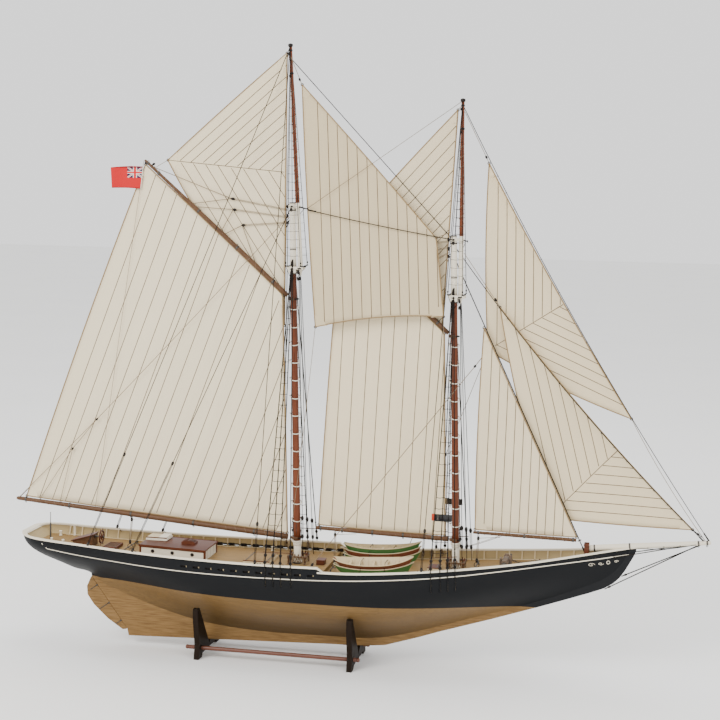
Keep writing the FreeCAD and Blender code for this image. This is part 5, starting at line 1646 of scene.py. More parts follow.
SPARS = (
    (
        "main", "main_boom", main_x, MAIN_CAP_Z,
        (138.8, (-64.5, 0, 138.8), (-397.9, 0, 164.3), (3.2, 2.2)),
        (409.5, (-72.0, 0, 410.7), (-242.4, 0, 560.4), (2.5, 1.5))
    ),
    (
        "fore", "fore_boom", fore_x, FORE_CAP_Z,
        (148.0, (116.5, 0, 148.0), (-37.3, 0, 151.5), (2.7, 2.0)),
        (374.5, (109.6, 0, 375.7), (-15.2, 0, 489.0), (2.3, 1.4))
    ),
)
for label, body, mast_x, cap_z, boom_data, gaff_data in SPARS:
    for kind, (jaw_z, start, end, radii) in (("boom", boom_data), ("gaff", gaff_data)):
        piece = Piece()
        inset = Vector(start).lerp(Vector(end), 0.016)
        spar(piece, inset, end, radii, 0)
        jaw_arms(piece, mast_x, jaw_z, mast_radius(jaw_z, cap_z), 0, 2)
        places = (0.12, 0.34, 0.57, 0.8, 0.965) if kind == "boom" else (0.1, 0.35, 0.62, 0.9, 0.975)
        for t in places:
            centre, r = spar_band(piece, inset, end, t, radii, 1)
            piece.ring(
                centre + Vector((0, 0, -r - 0.5)) if kind == "boom" else centre + Vector((0, 0, r + 0.5)),
                (0, 1, 0), 0.75, 0.28, 1, 10, 5
            )
        run = (Vector(end) - Vector(start)).normalized()
        turns = 26 if kind == "boom" and label == "main" else 16
        lace_start = Vector(start).lerp(Vector(end), 0.05)
        lace_end = Vector(start).lerp(Vector(end), 0.95)
        r0 = radii[0] * 1.03
        helix(piece, lace_start, lace_end, (r0, radii[1] + 0.1), turns, 0.2, 3, 4)
        if kind == "boom":
            for t in (0.22, 0.9):
                spot = Vector(start).lerp(Vector(end), t)
                for sy in (-1, 1):
                    piece.box(
                        (spot.x - 2.2, sy * (radii[0] + 0.2) - 0.4, spot.z - 0.5),
                        (spot.x + 2.2, sy * (radii[0] + 0.2) + 0.4, spot.z + 0.5), 0, 0.2
                    )
        piece.make(
            label + "_" + kind + "_spar", body,
            looks("spar_wood", "dark_metal", "block_black", "pale_line"),
            "spar_wood", [label + "_" + kind]
        )

jumbo = Piece()
stay_t = (155.8 - 142.5) / (455.0 - 142.5)
stay_x = 264.42 + (fore_x(455.0) + 3.0 - 264.42) * stay_t
spar(jumbo, (stay_x - 3.6, 0, 155.9), (141.0, 0, 157.5), (1.9, 1.55), 0)
jumbo.ring((stay_x, 0, 155.8), JUMBO_STAY[1] - JUMBO_STAY[0], 1.75, 0.5, 1, 14, 6)
for t in (0.03, 0.5, 0.95):
    centre, r = spar_band(jumbo, (stay_x - 3.6, 0, 155.9), (141.0, 0, 157.5), t, (1.9, 1.55), 1)
helix(jumbo, (stay_x - 8.0, 0, 156.0), (146.0, 0, 157.4), (2.05, 1.75), 13, 0.2, 2, 4)
jumbo.make(
    "jumbo_boom_spar", "jumbo_boom",
    looks("spar_wood", "dark_metal", "pale_line"), "spar_wood", ["jumbo_boom"]
)
# bowsprit: round spar with bands, eyes at its outer end, and a footrope on each side
sprit = Piece()
SPRIT = (Vector((268.0, 0, 147.8)), Vector((397.9, 0, 162.3)))
spar(sprit, SPRIT[0], SPRIT[1], (3.5, 2.2), 0)
for t, mat in ((0.05, 1), (0.34, 1), (0.9, 1), (0.97, 1)):
    spar_band(sprit, SPRIT[0], SPRIT[1], t, (3.5, 2.2), mat, 0.9, 0.3)
for t in (0.9, 0.97):
    spot = SPRIT[0].lerp(SPRIT[1], t)
    for turn_to in (Vector((0, 0, -1)), Vector((0, 1, 0)), Vector((0, -1, 0))):
        sprit.ring(spot + turn_to * 3.4, Vector((1, 0, 0)).cross(turn_to), 0.9, 0.3, 1, 10, 5)
for sy in (-1, 1):
    rope = []
    for i in range(13):
        t = 0.36 + 0.52 * i / 12
        base = SPRIT[0].lerp(SPRIT[1], t)
        sag = 2.6 * math.sin(math.pi * i / 12)
        rope.append(base + Vector((0, sy * (2.4 + sag * 0.8), -1.0 - sag)))
    sprit.tube(rope, 0.3, 5, 2)
    for i in (3, 6, 9):
        t = 0.36 + 0.52 * i / 12
        sprit.tube([SPRIT[0].lerp(SPRIT[1], t) + Vector((0, sy * 2.2, 0.4)), rope[i]], 0.24, 5, 2)
sprit.make(
    "bowsprit_spar", "ship", looks("white_paint", "dark_metal", "dark_line"), "white_paint", ["bowsprit"]
)

# ---------------------------------------------------------------- lines on the main boom and gaff
def boom_tackle(piece, boom_point, horse_x, wood_mat, iron_mat, line_mat):
    """Boom sheet between a boom block and a block riding on its horse."""
    z = deck_z(horse_x) + 4.0
    piece.ring((horse_x, 0, z), (0, 1, 0), 2.8, 0.42, iron_mat, 18, 6)
    piece.block((horse_x, 0, z + 5.0), (0, 0, 1), 1.9, wood_mat, iron_mat)
    bx, bz = boom_point
    piece.block((bx, 0, bz - 6.2), (0, 0, 1), 1.9, wood_mat, iron_mat)
    piece.ring((bx, 0, bz - 3.2), (0, 1, 0), 0.9, 0.3, iron_mat, 10, 5)
    for shift in (-0.9, 0.0, 0.9):
        piece.tube([(horse_x + shift, 0, z + 6.5), (bx + shift, 0, bz - 8.0)], 0.26, 5, line_mat)
    piece.tube(
        [(bx + 0.9, 0, bz - 6.0), (bx + 9.0, 0.4, bz - 5.2), (bx + 24.0, 0.8, bz - 3.8)],
        0.28, 5, line_mat
    )


def gaff_bridle(piece, mast_point, block_point, gaff_points, line_mat, block_mat):
    """Peak halyard part: from the mast to a block that hangs in a bridle on the gaff."""
    mast_point = Vector(mast_point)
    block_point = Vector(block_point)
    run = (mast_point - block_point).normalized()
    for shift in (-0.55, 0.55):
        piece.tube(
            [block_point + run * 2.0 + Vector((0, 0, shift)), mast_point + Vector((0, 0, shift))],
            0.3, 5, line_mat
        )
    piece.block(block_point, run, 1.9, block_mat, block_mat)
    for spot in gaff_points:
        spot = Vector(spot)
        piece.tube([spot, block_point - run * 1.6], 0.42, 5, line_mat)
        piece.ball(spot + Vector((0, 0, 0.4)), 0.9, line_mat, sides=8)


def gaff_at(x):
    return 410.7 + (-72.0 - x) * 149.7 / 170.4


main_gear = Piece()
for z_top, block_point, ends in (
    (508.0, (-139.0, 0, 519.0), (-231.0, -186.0)), (500.0, (-137.0, 0, 507.0), (-182.0, -152.0)),
    (494.0, (-126.5, 0, 490.0), (-148.0, -112.0)),
):
    points = [(x, 0, gaff_at(x) + 2.0) for x in ends]
    gaff_bridle(main_gear, (main_x(z_top) - 5.4, 0, z_top), block_point, points, 0, 1)
lift_d = (-297.9, 262.8)
lift_a = (-327.5, 226.9)
for y_top, y_low in ((-2.4, -3.0), (6.6, 3.4)):
    top = Vector((main_x(500.0) - 4.9, y_top, 500.0))
    mid = Vector((lift_d[0], y_low, lift_d[1]))
    low = Vector((lift_a[0], y_low, lift_a[1]))
    y_end = math.copysign(1.9, y_low)
    main_gear.tube(hanging(top, mid, 0.6), 0.34, 5, 0)
    main_gear.block(mid, mid - top, 1.5, 1, 1)
    main_gear.tube([mid, (-395.0, y_end, 164.8)], 0.32, 5, 0)
    main_gear.tube([mid, low], 0.3, 5, 0)
    main_gear.block(low, low - mid, 1.4, 1, 1)
    main_gear.tube([low, (-370.0, y_end, 162.8)], 0.3, 5, 0)
    main_gear.tube([low, (-344.0, y_end, 161.0)], 0.3, 5, 0)
main_gear.tube([(-242.9, -2.2, 559.9), (-300.0, -2.2, 157.5)], 0.24, 5, 0)
main_gear.block((-241.5, -1.6, 557.0), (0, 0, 1), 1.0, 1, 1)
boom_tackle(main_gear, (-256.0, 153.4), -258.0, 1, 2, 0)
main_gear.block((-232.0, 0, 556.0), (1, 0, 0.5), 1.6, 1, 1)
main_gear.tube([(-216.4, 3.6, 560.8), (-229.0, 0.6, 553.0)], 0.3, 5, 0)
main_gear.make(
    "main_boom_gear", "main_boom",
    looks("pale_line", "block_black", "dark_metal"), "pale_line", ["main_lines"]
)

# ---------------------------------------------------------------- ensign at the gaff
def union_flag(name):
    """Red field with a crossed blue corner."""
    g = Graph(name)
    x = g.math("DIVIDE", g.math("SUBTRACT", -0.2436, g.dot((1, 0, 0))), 0.0378)
    z = g.math("DIVIDE", g.math("SUBTRACT", g.dot((0, 0, 1)), 0.5284), 0.0238)
    u = g.math("DIVIDE", x, 0.5)
    v = g.math("DIVIDE", g.math("SUBTRACT", z, 0.5), 0.5)
    inside = g.math("MULTIPLY", g.math("LESS_THAN", u, 1.0), g.math("GREATER_THAN", v, 0.0))
    cu = g.math("ABSOLUTE", g.math("SUBTRACT", u, 0.5))
    cv = g.math("ABSOLUTE", g.math("SUBTRACT", v, 0.5))
    diagonal = g.math("ABSOLUTE", g.math("SUBTRACT", cu, cv))
    weave = g.noise(1500, 3)
    crease = g.noise(60, 3)
    red = (0.56, 0.018, 0.02)
    # painted shade: the red field darkens in soft patches as in the flag's creases
    field = g.mix(g.spread(crease, 0.0, 0.4), red, (0.36, 0.012, 0.014))
    corner = g.mix(g.math("LESS_THAN", diagonal, 0.095), (0.02, 0.012, 0.05), (0.66, 0.60, 0.56))
    corner = g.mix(g.math("LESS_THAN", diagonal, 0.03), corner, red)
    corner = g.mix(g.math("LESS_THAN", g.math("MINIMUM", cu, cv), 0.13), corner, (0.66, 0.60, 0.56))
    corner = g.mix(g.math("LESS_THAN", g.math("MINIMUM", cu, cv), 0.07), corner, red)
    tone = g.mix(inside, field, corner)
    edge = g.math("MAXIMUM", g.math("LESS_THAN", z, 0.035), g.math("GREATER_THAN", z, 0.965))
    tone = g.mix(g.math("MULTIPLY", edge, 0.7), tone, (0.12, 0.01, 0.01))
    g.bump(weave, 0.4, 0.05)
    return g.finish(tone, g.spread(weave, 0.7, 0.9))


flag = Piece()
rows = []
for j in range(17):
    v = j / 16
    row = []
    for i in range(29):
        u = i / 28
        top = Vector((-243.6, 0, 552.9)).lerp(Vector((-281.4, 0, 551.4)), u)
        low = Vector((-246.4, 0, 528.2)).lerp(Vector((-279.8, 0, 528.6)), u)
        p = low.lerp(top, v)
        p.z += 0.9 * math.sin(math.pi * u) * (0.6 + 0.4 * v)
        p.y = -2.4 - 1.5 * math.sin(2.4 * math.pi * u + 0.5 * v) * u ** 0.6 - 0.6 * u * (1 - v)
        row.append(p)
    rows.append(row)
flag.strip(rows)
ensign = flag.make(
    "ensign_cloth", "main_boom", [union_flag("ensign_dyed")], "flag_cloth", ["ensign"], thicken=0.35
)
hem = Piece()
hem.tube([row[0] for row in rows], 0.45, 6, 0)
hem.tube([row[-1] for row in rows], 0.22, 5, 1)
for row in (rows[0], rows[-1]):
    hem.tube(row, 0.2, 5, 1)
for row in (rows[0], rows[8], rows[-1]):
    hem.ring(row[0] + Vector((0.4, 0.1, 0)), (0, 0, 1), 0.55, 0.2, 0, 8, 5)
hem_obj = hem.make("ensign_hem", "main_boom", looks("white_line", "flag_cloth"), "flag_cloth")

# ---------------------------------------------------------------- lines on the fore boom and gaff
def fore_gaff_at(x):
    return 375.7 + (109.6 - x) * 113.3 / 124.8


fore_gear = Piece()
for z_top, block_point, ends in (
    (478.0, (50.0, 0, 470.0), (-8.0, 24.0)), (472.0, (54.0, 0, 457.0), (28.0, 48.0)),
    (466.0, (66.0, 0, 442.0), (52.0, 76.0)),
):
    points = [(x, 0, fore_gaff_at(x) + 1.8) for x in ends]
    gaff_bridle(fore_gear, (fore_x(z_top) - 5.4, 0, z_top), block_point, points, 0, 1)
top = Vector((fore_x(462.0) - 4.9, 6.4, 462.0))
end = Vector((-30.0, 1.8, 152.2))
fore_gear.tube(hanging(top, end, 0.5), 0.32, 5, 0)
fore_gear.block(top.lerp(end, 0.72), end - top, 1.4, 1, 1)
boom_tackle(fore_gear, (-15.0, 150.8), -15.0, 1, 2, 0)
fore_gear.make(
    "fore_boom_gear", "fore_boom",
    looks("pale_line", "block_black", "dark_metal"), "pale_line", ["fore_lines"]
)

jumbo_gear = Piece()
boom_tackle(jumbo_gear, (147.0, 157.2), 146.0, 1, 2, 0)
for i in range(12):
    t = 0.09 + 0.80 * i / 11
    p = JUMBO_STAY[1].lerp(JUMBO_STAY[0], t)
    if p.z > 163:
        jumbo_gear.ring(p + Vector((-0.3, 0, 0)), JUMBO_STAY[0] - JUMBO_STAY[1], 0.95, 0.24, 2, 10, 5)
jumbo_gear.make(
    "jumbo_boom_gear", "jumbo_boom",
    looks("pale_line", "block_black", "dark_metal"), "pale_line", ["jumbo_sheet"]
)

# ---------------------------------------------------------------- headsail hanks and sheets, fisherman gear
gear = Piece()


def hanks(stay, low_z, high_z, count):
    """Hanks from a sagging stay to the luff of its sail."""
    pts = hanging(*stay, 9.0, 48)
    for i in range(count):
        z = low_z + (high_z - low_z) * (i + 0.4) / count
        for a, b in zip(pts, pts[1:]):
            if min(a.z, b.z) <= z <= max(a.z, b.z):
                spot = a.lerp(b, (z - a.z) / (b.z - a.z))
                gear.ring(spot + Vector((-0.35, 0.1, 0)), b - a, 0.95, 0.26, 2, 10, 5)


hanks(JIB_STAY, 180.0, 405.0, 15)
hanks(TOP_STAY, 296.0, 560.0, 15)


def headsail_sheet(clew, lead, share, slack=1.5):
    """Lee sheet from a clew: a pendant to a block and a tackle down to the rail."""
    clew = Vector(clew)
    end = Vector(lead)
    mid = clew.lerp(end, share)
    run = (end - clew).normalized()
    gear.tube(hanging(clew, mid, slack * 0.3, 6), 0.34, 5, 0)
    gear.block(mid, run, 1.7, 1, 1)
    for shift in (-0.8, 0.8):
        gear.tube(
            hanging(mid + Vector((0, 0, shift)), end + Vector((0, 0, shift * 0.6)), slack, 8), 0.26, 5, 0
        )
    gear.block(end, run, 1.6, 1, 1)


headsail_sheet((222.6, 7.5, 177.4), (128.0, half_breadth(128.0, 200.0) - 1.0, rail_z(128.0) + 2.4), 0.34)
headsail_sheet((150.3, 8.5, 359.7), (60.0, half_breadth(60.0, 200.0) - 0.5, rail_z(60.0) + 2.4), 0.52, 0.5)
# weather sheet of the jib topsail, led round before the fore mast to the rail amidships
weather = [
    (150.3, 8.5, 359.7), (141.0, 6.5, 347.0), (134.0, -4.0, 337.2),
    (130.0, -7.0, 332.0), (-27.0, 2.0 - half_breadth(-27.0, 200.0), 124.0)
]
gear.tube(weather, 0.42, 5, 0)
gear.block((137.6, 1.4, 342.2), (-0.5, -0.7, -0.7), 1.6, 1, 1)
gear.block(weather[-1], (-0.6, -0.2, -0.8), 1.7, 1, 1)
gear.tube([(378.4, 0.6, 175.0), (388.0, 0.1, 167.8)], 0.45, 6, 1)
gear.block((384.0, 0.3, 170.8), (1, 0, -0.7), 1.4, 1, 1)
gear.tube(hanging((308.8, 1.0, 292.0), (392.0, 0.6, 163.5), 3.0, 8), 0.34, 5, 0)
gear.tube([(163.0, 0.6, 408.4), (122.0, 0.4, 466.0)], 0.34, 5, 0)
gear.block((158.0, 0.6, 416.0), (-0.6, 0, 1), 1.6, 1, 1)
gear.tube([(146.4, 0.8, 563.6), (118.6, 0.4, 618.0)], 0.34, 5, 0)
gear.block((143.4, 0.8, 569.5), (-0.5, 0, 1), 1.5, 1, 1)
gear.tube([(-60.9, -5.0, 645.2), (-74.8, -2.4, 676.0)], 0.34, 5, 0)
gear.block((-63.6, -4.5, 650.5), (-0.4, 0, 1), 1.5, 1, 1)
gear.tube([(92.2, -9.0, 481.6), (107.4, -6.0, 488.0)], 0.34, 5, 0)
gear.tube(hanging((103.1, -11.5, 396.2), (116.0, -15.0, 140.0), 1.0, 8), 0.3, 5, 0)
gear.tube(hanging((-39.4, -13.0, 379.8), (-60.0, -42.0, 124.0), 1.0, 8), 0.3, 5, 0)
gear.tube([(111.2, 0.8, 619.7), (116.6, 0.6, 626.0)], 0.3, 5, 0)
gear.make("headsail_gear", "ship", looks("pale_line", "block_black", "dark_metal"), "pale_line")

# ---------------------------------------------------------------- fife rails, pins and coils; sheet horses
random.seed(23)


def coil(piece, centre, radius, height, turns, mat):
    """Coil of line hanging on a pin: loops of slightly different size."""
    centre = Vector(centre)
    for k in range(turns):
        points = []
        wide = radius * random.uniform(0.8, 1.1)
        tall = height * random.uniform(0.85, 1.1)
        lean = random.uniform(-0.25, 0.25)
        for i in range(14):
            a = 2 * math.pi * i / 14
            points.append(
                centre
                + Vector(
                    (
                        wide * math.sin(a), (k - turns / 2) * 0.42 + lean * math.cos(a),
                        -tall * (1 - math.cos(a)) / 2
                    )
                )
            )
        piece.tube(points, 0.3, 4, mat, closed=True)


fife = Piece()
for cx, half_x, half_y in ((-57.0, 9.5, 9.5), (123.0, 9.0, 9.0)):
    z = deck_z(cx)
    for sx in (-1, 1):
        for sy in (-1, 1):
            post = [(-0.6, 1.4), (0.6, 1.4), (1.0, 0.9), (3.2, 1.2), (5.4, 0.8), (7.0, 0.9), (8.0, 1.3)]
            fife.lathe((cx + sx * half_x, sy * half_y, z), (0, 0, 1), post, 12, 0)
    fife.box((cx - half_x - 1.6, half_y - 1.4, z + 8), (cx + half_x + 1.6, half_y + 1.6, z + 9.6), 0, 0.35)
    fife.box((cx - half_x - 1.6, -half_y - 1.6, z + 8), (cx + half_x + 1.6, -half_y + 1.4, z + 9.6), 0, 0.35)
    fife.box((cx - half_x - 1.6, -half_y + 1.4, z + 8), (cx - half_x + 1.4, half_y - 1.4, z + 9.6), 0, 0.3)
    fife.box((cx + half_x - 1.4, -half_y + 1.4, z + 8), (cx + half_x + 1.6, half_y - 1.4, z + 9.6), 0, 0.3)
    spots = [(cx + dx, sy * half_y) for dx in (-6.0, -2.0, 2.0, 6.0) for sy in (-1, 1)]
    spots += [(cx + sx * half_x, dy) for dy in (-5.0, 0.0, 5.0) for sx in (-1, 1)]
    for k, (x, y) in enumerate(spots):
        fife.lathe(
            (x, y, z + 5.6), (0, 0, 1),
            [(0, 0.3), (2.2, 0.42), (4.2, 0.45), (4.4, 0.7), (5.6, 0.75), (6.6, 0.35)], 8, 1
        )
        if k % 4 != 3:
            coil(fife, (x, y * 1.09, z + 10.4), 1.7, 7.4, 4, 2)
# pins at the rail beside the fore and the main shrouds, each with a coil hanging on it
for x in (78.0, 88.0, 100.0, 112.0, -86.0, -74.0, -60.0):
    for sy in (-1, 1):
        y = sy * (half_breadth(x, 200.0) - 3.2)
        fife.lathe((x, y, rail_z(x) - 5.0), (0, 0, 1), [(0, 0.3), (3.0, 0.5), (4.4, 0.7), (6.0, 0.4)], 8, 1)
        coil(fife, (x, y - sy * 0.8, rail_z(x) - 1.2), 1.8, 6.6, 4, 2)
fife.make("fife_rail_pins", "ship", looks("spar_wood", "mahogany", "pale_line"), "spar_wood", ["fife_rails"])

horse = Piece()
for x, y in ((-258.0, 27.0), (-15.0, 22.0), (146.0, 20.0)):
    z = deck_z(x)
    bar = [
        (x, -y, z - 0.4), (x, -y, z + 3.0), (x, -y + 1.0, z + 4.0),
        (x, y - 1.0, z + 4.0), (x, y, z + 3.0), (x, y, z - 0.4)
    ]
    horse.tube(bar, 0.62, 8, 0)
    for sy in (-1, 1):
        horse.lathe((x, sy * y, z - 0.1), (0, 0, 1), [(0, 1.9), (0.5, 1.9), (0.8, 1.1), (1.2, 0.9)], 12, 0)
        horse.ring((x, sy * (y - 0.6), z + 3.6), (0, 1, 1), 0.8, 0.3, 1, 10, 5)
horse.make("sheet_horse_bars", "ship", looks("dark_metal", "block_black"), "dark_metal", ["sheet_horses"])

# ---------------------------------------------------------------- windlass and anchors
WINDLASS = (178.0, deck_z(178.0) + 6.5)
wx, wz = WINDLASS
MATERIALS["windlass_wood"] = wood("windlass_wood", (0.17, 0.12, 0.085), "y", 0.55, 0.4, 0.05)
bitt = Piece()
for sy in (-1, 1):
    y0, y1 = sorted((sy * 14.0, sy * 16.6))
    outline = [
        (wx - 3.5, wz - 7.5), (wx - 3.5, wz + 2.4), (wx - 2.0, wz + 5.0),
        (wx + 2.0, wz + 5.0), (wx + 3.5, wz + 2.4), (wx + 5.4, wz - 7.5)
    ]
    bitt.prism(outline, y0, y1, 0)
    bitt.lathe((wx, sy * 13.8, wz), (0, sy, 0), [(0, 2.6), (0.3, 2.8), (3.0, 2.8), (3.3, 2.6)], 16, 1)
bitt.box((wx - 6.5, -3.0, wz - 7.0), (wx - 4.6, 3.0, wz + 4.0), 0, 0.4)
bitt.box((wx + 4.8, -1.8, wz - 7.0), (wx + 7.0, 1.8, wz + 7.5), 0, 0.4)
bitt.ball((wx + 5.9, 0, wz + 8.1), 1.2, 1)
bitt.make(
    "windlass_bitts", "ship", looks("windlass_wood", "dark_metal"),
    "spar_wood", ["windlass_posts"], bevel=0.15
)
drum = Piece()
rows = [
    (-13.4, 3.2), (-12.9, 3.6), (-10.0, 3.5), (-2.2, 3.3), (-2.0, 4.2), (-1.0, 4.3),
    (1.0, 4.3), (2.0, 4.2), (2.2, 3.3), (10.0, 3.5), (12.9, 3.6), (13.4, 3.2)
]
drum.lathe((wx, 0, wz), (0, 1, 0), rows, 24, 0)
for i in range(8):
    a = math.radians(45.0 * i + 10.0)
    out = Vector((math.cos(a), 0, math.sin(a)))
    for y0, y1 in ((-12.2, -3.0), (3.0, 12.2)):
        drum.tube([Vector((wx, y0, wz)) + out * 3.75, Vector((wx, y1, wz)) + out * 3.75], 0.42, 5, 0)
for sy in (-1, 1):
    drum.lathe(
        (wx, sy * 13.4, wz), (0, sy, 0),
        [(0, 1.5), (3.6, 1.5), (3.7, 3.0), (4.6, 3.2), (5.2, 2.3), (7.2, 2.0), (7.9, 2.6), (8.2, 2.4)],
        18, 1
    )
drum.ring((wx, 0, wz), (0, 1, 0), 4.3, 0.3, 1, 24, 5, 0.9)
drum.make("windlass_drum", "windlass", looks("windlass_wood", "dark_metal"), "spar_wood", ["windlass_barrel"])

anchor = Piece()
for sy in (-1, 1):
    za = deck_z(212) + 1.4
    zb = deck_z(236) + 1.4
    ring_end = Vector((212, sy * 17, za))
    crown = Vector((236, sy * 12, zb))
    anchor.tube([ring_end, crown], [0.7, 0.95], 8, 0)
    anchor.ring(ring_end + Vector((-1.2, sy * 0.3, 0)), (0, 0, 1), 1.3, 0.32, 0, 14, 6)
    left = Vector((230, sy * 5.0, deck_z(230) + 1.5))
    right_end = Vector((232, sy * 19.0, deck_z(232) + 1.5))
    for tip in (left, right_end):
        bend = crown.lerp(tip, 0.5) + Vector((1.6, 0, 0))
        anchor.tube([crown, bend, tip], [0.95, 0.8, 0.4], 8, 0)
        run = (tip - bend).normalized()
        across = run.cross(Vector((0, 0, 1))).normalized()
        fluke = [tip, tip - run * 4.2 + across * 1.7, tip - run * 4.8, tip - run * 4.2 - across * 1.7]
        lift = Vector((0, 0, 0.3))
        anchor.add([p + lift for p in fluke] + [p - lift for p in fluke], SLAB_FACES, 0, True)
    stock = [Vector((214, sy * 10, deck_z(214) + 1.5)), Vector((214, sy * 23, deck_z(214) + 1.5))]
    anchor.tube([stock[0], stock[0].lerp(stock[1], 0.5), stock[1]], [0.5, 1.0, 0.5], 8, 1)
    for t in (0.25, 0.42, 0.6, 0.78):
        anchor.ring(stock[0].lerp(stock[1], t), (0, 1, 0), 0.85, 0.2, 0, 10, 5)
    chain = hanging(ring_end + Vector((-2.4, sy * 0.6, 0)), (wx + 4.0, sy * 7.5, wz + 1.0), 3.4, 18)
    for i in range(18):
        a, b = chain[i], chain[i + 1]
        axis = Vector((0, 0, 1)) if i % 2 else Vector((0, 1, 0))
        anchor.ring(a.lerp(b, 0.5) + Vector((0, 0, 0.1)), axis, 1.15, 0.3, 0, 10, 5)
anchor.make("anchor_gear", "ship", looks("dark_metal", "mahogany"), "dark_metal", ["anchors"])

# ---------------------------------------------------------------- dories
DORY = (
    (-44.5, 1.2, 2.6, 4.4, 13.2), (-37.0, 3.6, 6.4, 1.4, 11.0), (-20.0, 6.4, 10.6, 0.3, 9.0),
    (0.0, 7.2, 12.0, 0.0, 8.4), (20.0, 6.2, 10.6, 0.3, 9.2), (37.0, 2.6, 5.4, 1.6, 12.0),
    (45.5, 0.9, 1.2, 4.6, 15.0),
)


def dory_section(x):
    """Half-breadths and heights of a dory at x."""
    return [smooth_table([(row[0], row[k]) for row in DORY], x) for k in (1, 2, 3, 4)]


def dory(piece, place, heel, outer, inner, rim):
    """Lapstrake dory with frames, thwarts and a rubbed gunwale."""
    tilt = Matrix.Rotation(math.radians(-3.4), 3, "Y") @ Matrix.Rotation(math.radians(heel), 3, "X")

    def at(x, y, z):
        return Vector(place) + tilt @ Vector((x, y, z))

    stations = [-44.5 + 90.0 * i / 30 for i in range(31)]
    for side in (-1, 1):
        rows = []
        inside = []
        for x in stations:
            bottom, top, z0, z1 = dory_section(x)
            bottom = max(bottom, 0.4)
            top = max(top, 0.6)
            points = [(0.0, z0), (bottom, z0)]
            for k in range(3):
                t = (k + 1) / 3
                y, z = bottom + (top - bottom) * t, z0 + (z1 - z0) * t
                points.append((y + 0.28 * (1 if k else 0), z))
                if k < 2:
                    points.append((y + 0.30, z - 0.15))
            rows.append([at(x * (0.86 + 0.14 * (z - z0) / (z1 - z0)), side * y, z) for y, z in points])
            low = max(bottom - 0.8, 0.12)
            high = max(top - 0.8, 0.15)
            floor = ((0.0, z0 + 0.9), (low, z0 + 0.9), ((low + high) / 2, (z0 + z1) / 2), (high, z1 - 0.1))
            inside.append([at(x * (0.86 + 0.14 * (z - z0) / (z1 - z0)), side * y, z) for y, z in floor])
        if side > 0:
            rows = [row[::-1] for row in rows]
        else:
            inside = [row[::-1] for row in inside]
        piece.strip(rows, outer, True)
        piece.strip(inside, inner)
        gunwale = []
        for x in stations:
            bottom, top, z0, z1 = dory_section(x)
            gunwale.append(at(x, side * (max(top, 0.6) - 0.3), z1))
        piece.tube(gunwale, 0.62, 6, rim)
        for x in (-30.0, -22.0, -7.0, 7.0, 22.0, 30.0):
            bottom, top, z0, z1 = dory_section(x)
            piece.tube(
                [
                    at(x, side * 0.5, z0 + 1.1), at(x, side * (bottom - 1.1), z0 + 1.1),
                    at(x, side * (top - 1.1), z1 - 0.5)
                ],
                0.4, 5, inner
            )
    for x in (-44.5, 45.5):
        bottom, top, z0, z1 = dory_section(x)
        rake = 1.0 if x > 0 else -1.0
        low, high = max(bottom, 0.4), max(top, 0.6)
        loop = [at(0.86 * x, -low, z0), at(0.86 * x, low, z0), at(x, high, z1), at(x, -high, z1)]
        back_loop = [p - tilt @ Vector((rake * 0.8, 0, 0)) for p in loop]
        piece.add(loop + back_loop, SLAB_FACES, outer, True)
    for x in (-26.0, -15.0, 0.0, 15.0, 27.0):
        bottom, top, z0, z1 = dory_section(x)
        z = z0 + (z1 - z0) * 0.62
        half = bottom + (top - bottom) * 0.62 - 0.9
        corners = [at(x + dx, dy, z + dz) for dx in (-1.3, 1.3) for dy in (-half, half) for dz in (0.0, 0.8)]
        piece.add(
            corners, [(0, 1, 3, 2), (4, 6, 7, 5), (0, 4, 5, 1), (2, 3, 7, 6), (1, 5, 7, 3), (0, 2, 6, 4)],
            inner, True
        )


nest = Piece()
base_z = deck_z(35.0) + 1.2
dory(nest, (35.0, -27.0, base_z), 0.0, 1, 2, 2)
dory(nest, (35.0, -27.4, base_z + 7.2), 11.0, 0, 2, 2)
dory(nest, (35.0, 27.0, base_z), 0.0, 1, 2, 2)
dory(nest, (35.0, 27.0, base_z + 5.55), 0.0, 0, 2, 2)
dory(nest, (35.0, 27.0, base_z + 11.1), 0.0, 1, 2, 2)
for y in (-27.0, 27.0):
    for x in (17.0, 53.0):
        z = deck_z(x)
        nest.box((x - 1.8, y - 6.5, z - 0.4), (x + 1.8, y - 3.6, z + 2.8), 3, 0.4)
        nest.box((x - 1.8, y + 3.6, z - 0.4), (x + 1.8, y + 6.5, z + 2.8), 3, 0.4)
        nest.box((x - 1.6, y - 6.0, z - 0.4), (x + 1.6, y + 6.0, z + 0.8), 3, 0.3)
for y, z_top in ((-27.0, base_z + 16.4), (27.0, base_z + 20.6)):
    for x in (22.0, 49.0):
        span = 12.9
        lash = []
        for i in range(11):
            a = math.pi * i / 10
            lash.append(
                (
                    x, y - span * math.cos(a),
                    deck_z(x) + 1.0 + (z_top - deck_z(x) - 1.0) * min(1.0, math.sin(a) * 1.35)
                )
            )
        nest.tube(lash, 0.3, 5, 4)
nest.make(
    "dory_nest", "ship",
    [
        paint("dory_brown_strakes", (0.20, 0.062, 0.03), 0.4, 0.4, (0.10, 0.04, 0.025)),
        paint("dory_green_strakes", (0.075, 0.19, 0.055), 0.4, 0.35, (0.045, 0.11, 0.035)),
        MATERIALS["cream"], MATERIALS["spar_wood"], MATERIALS["dark_line"],
    ],
    "dory_brown", ["dories_lower", "dories_upper", "dory_chocks"],
)

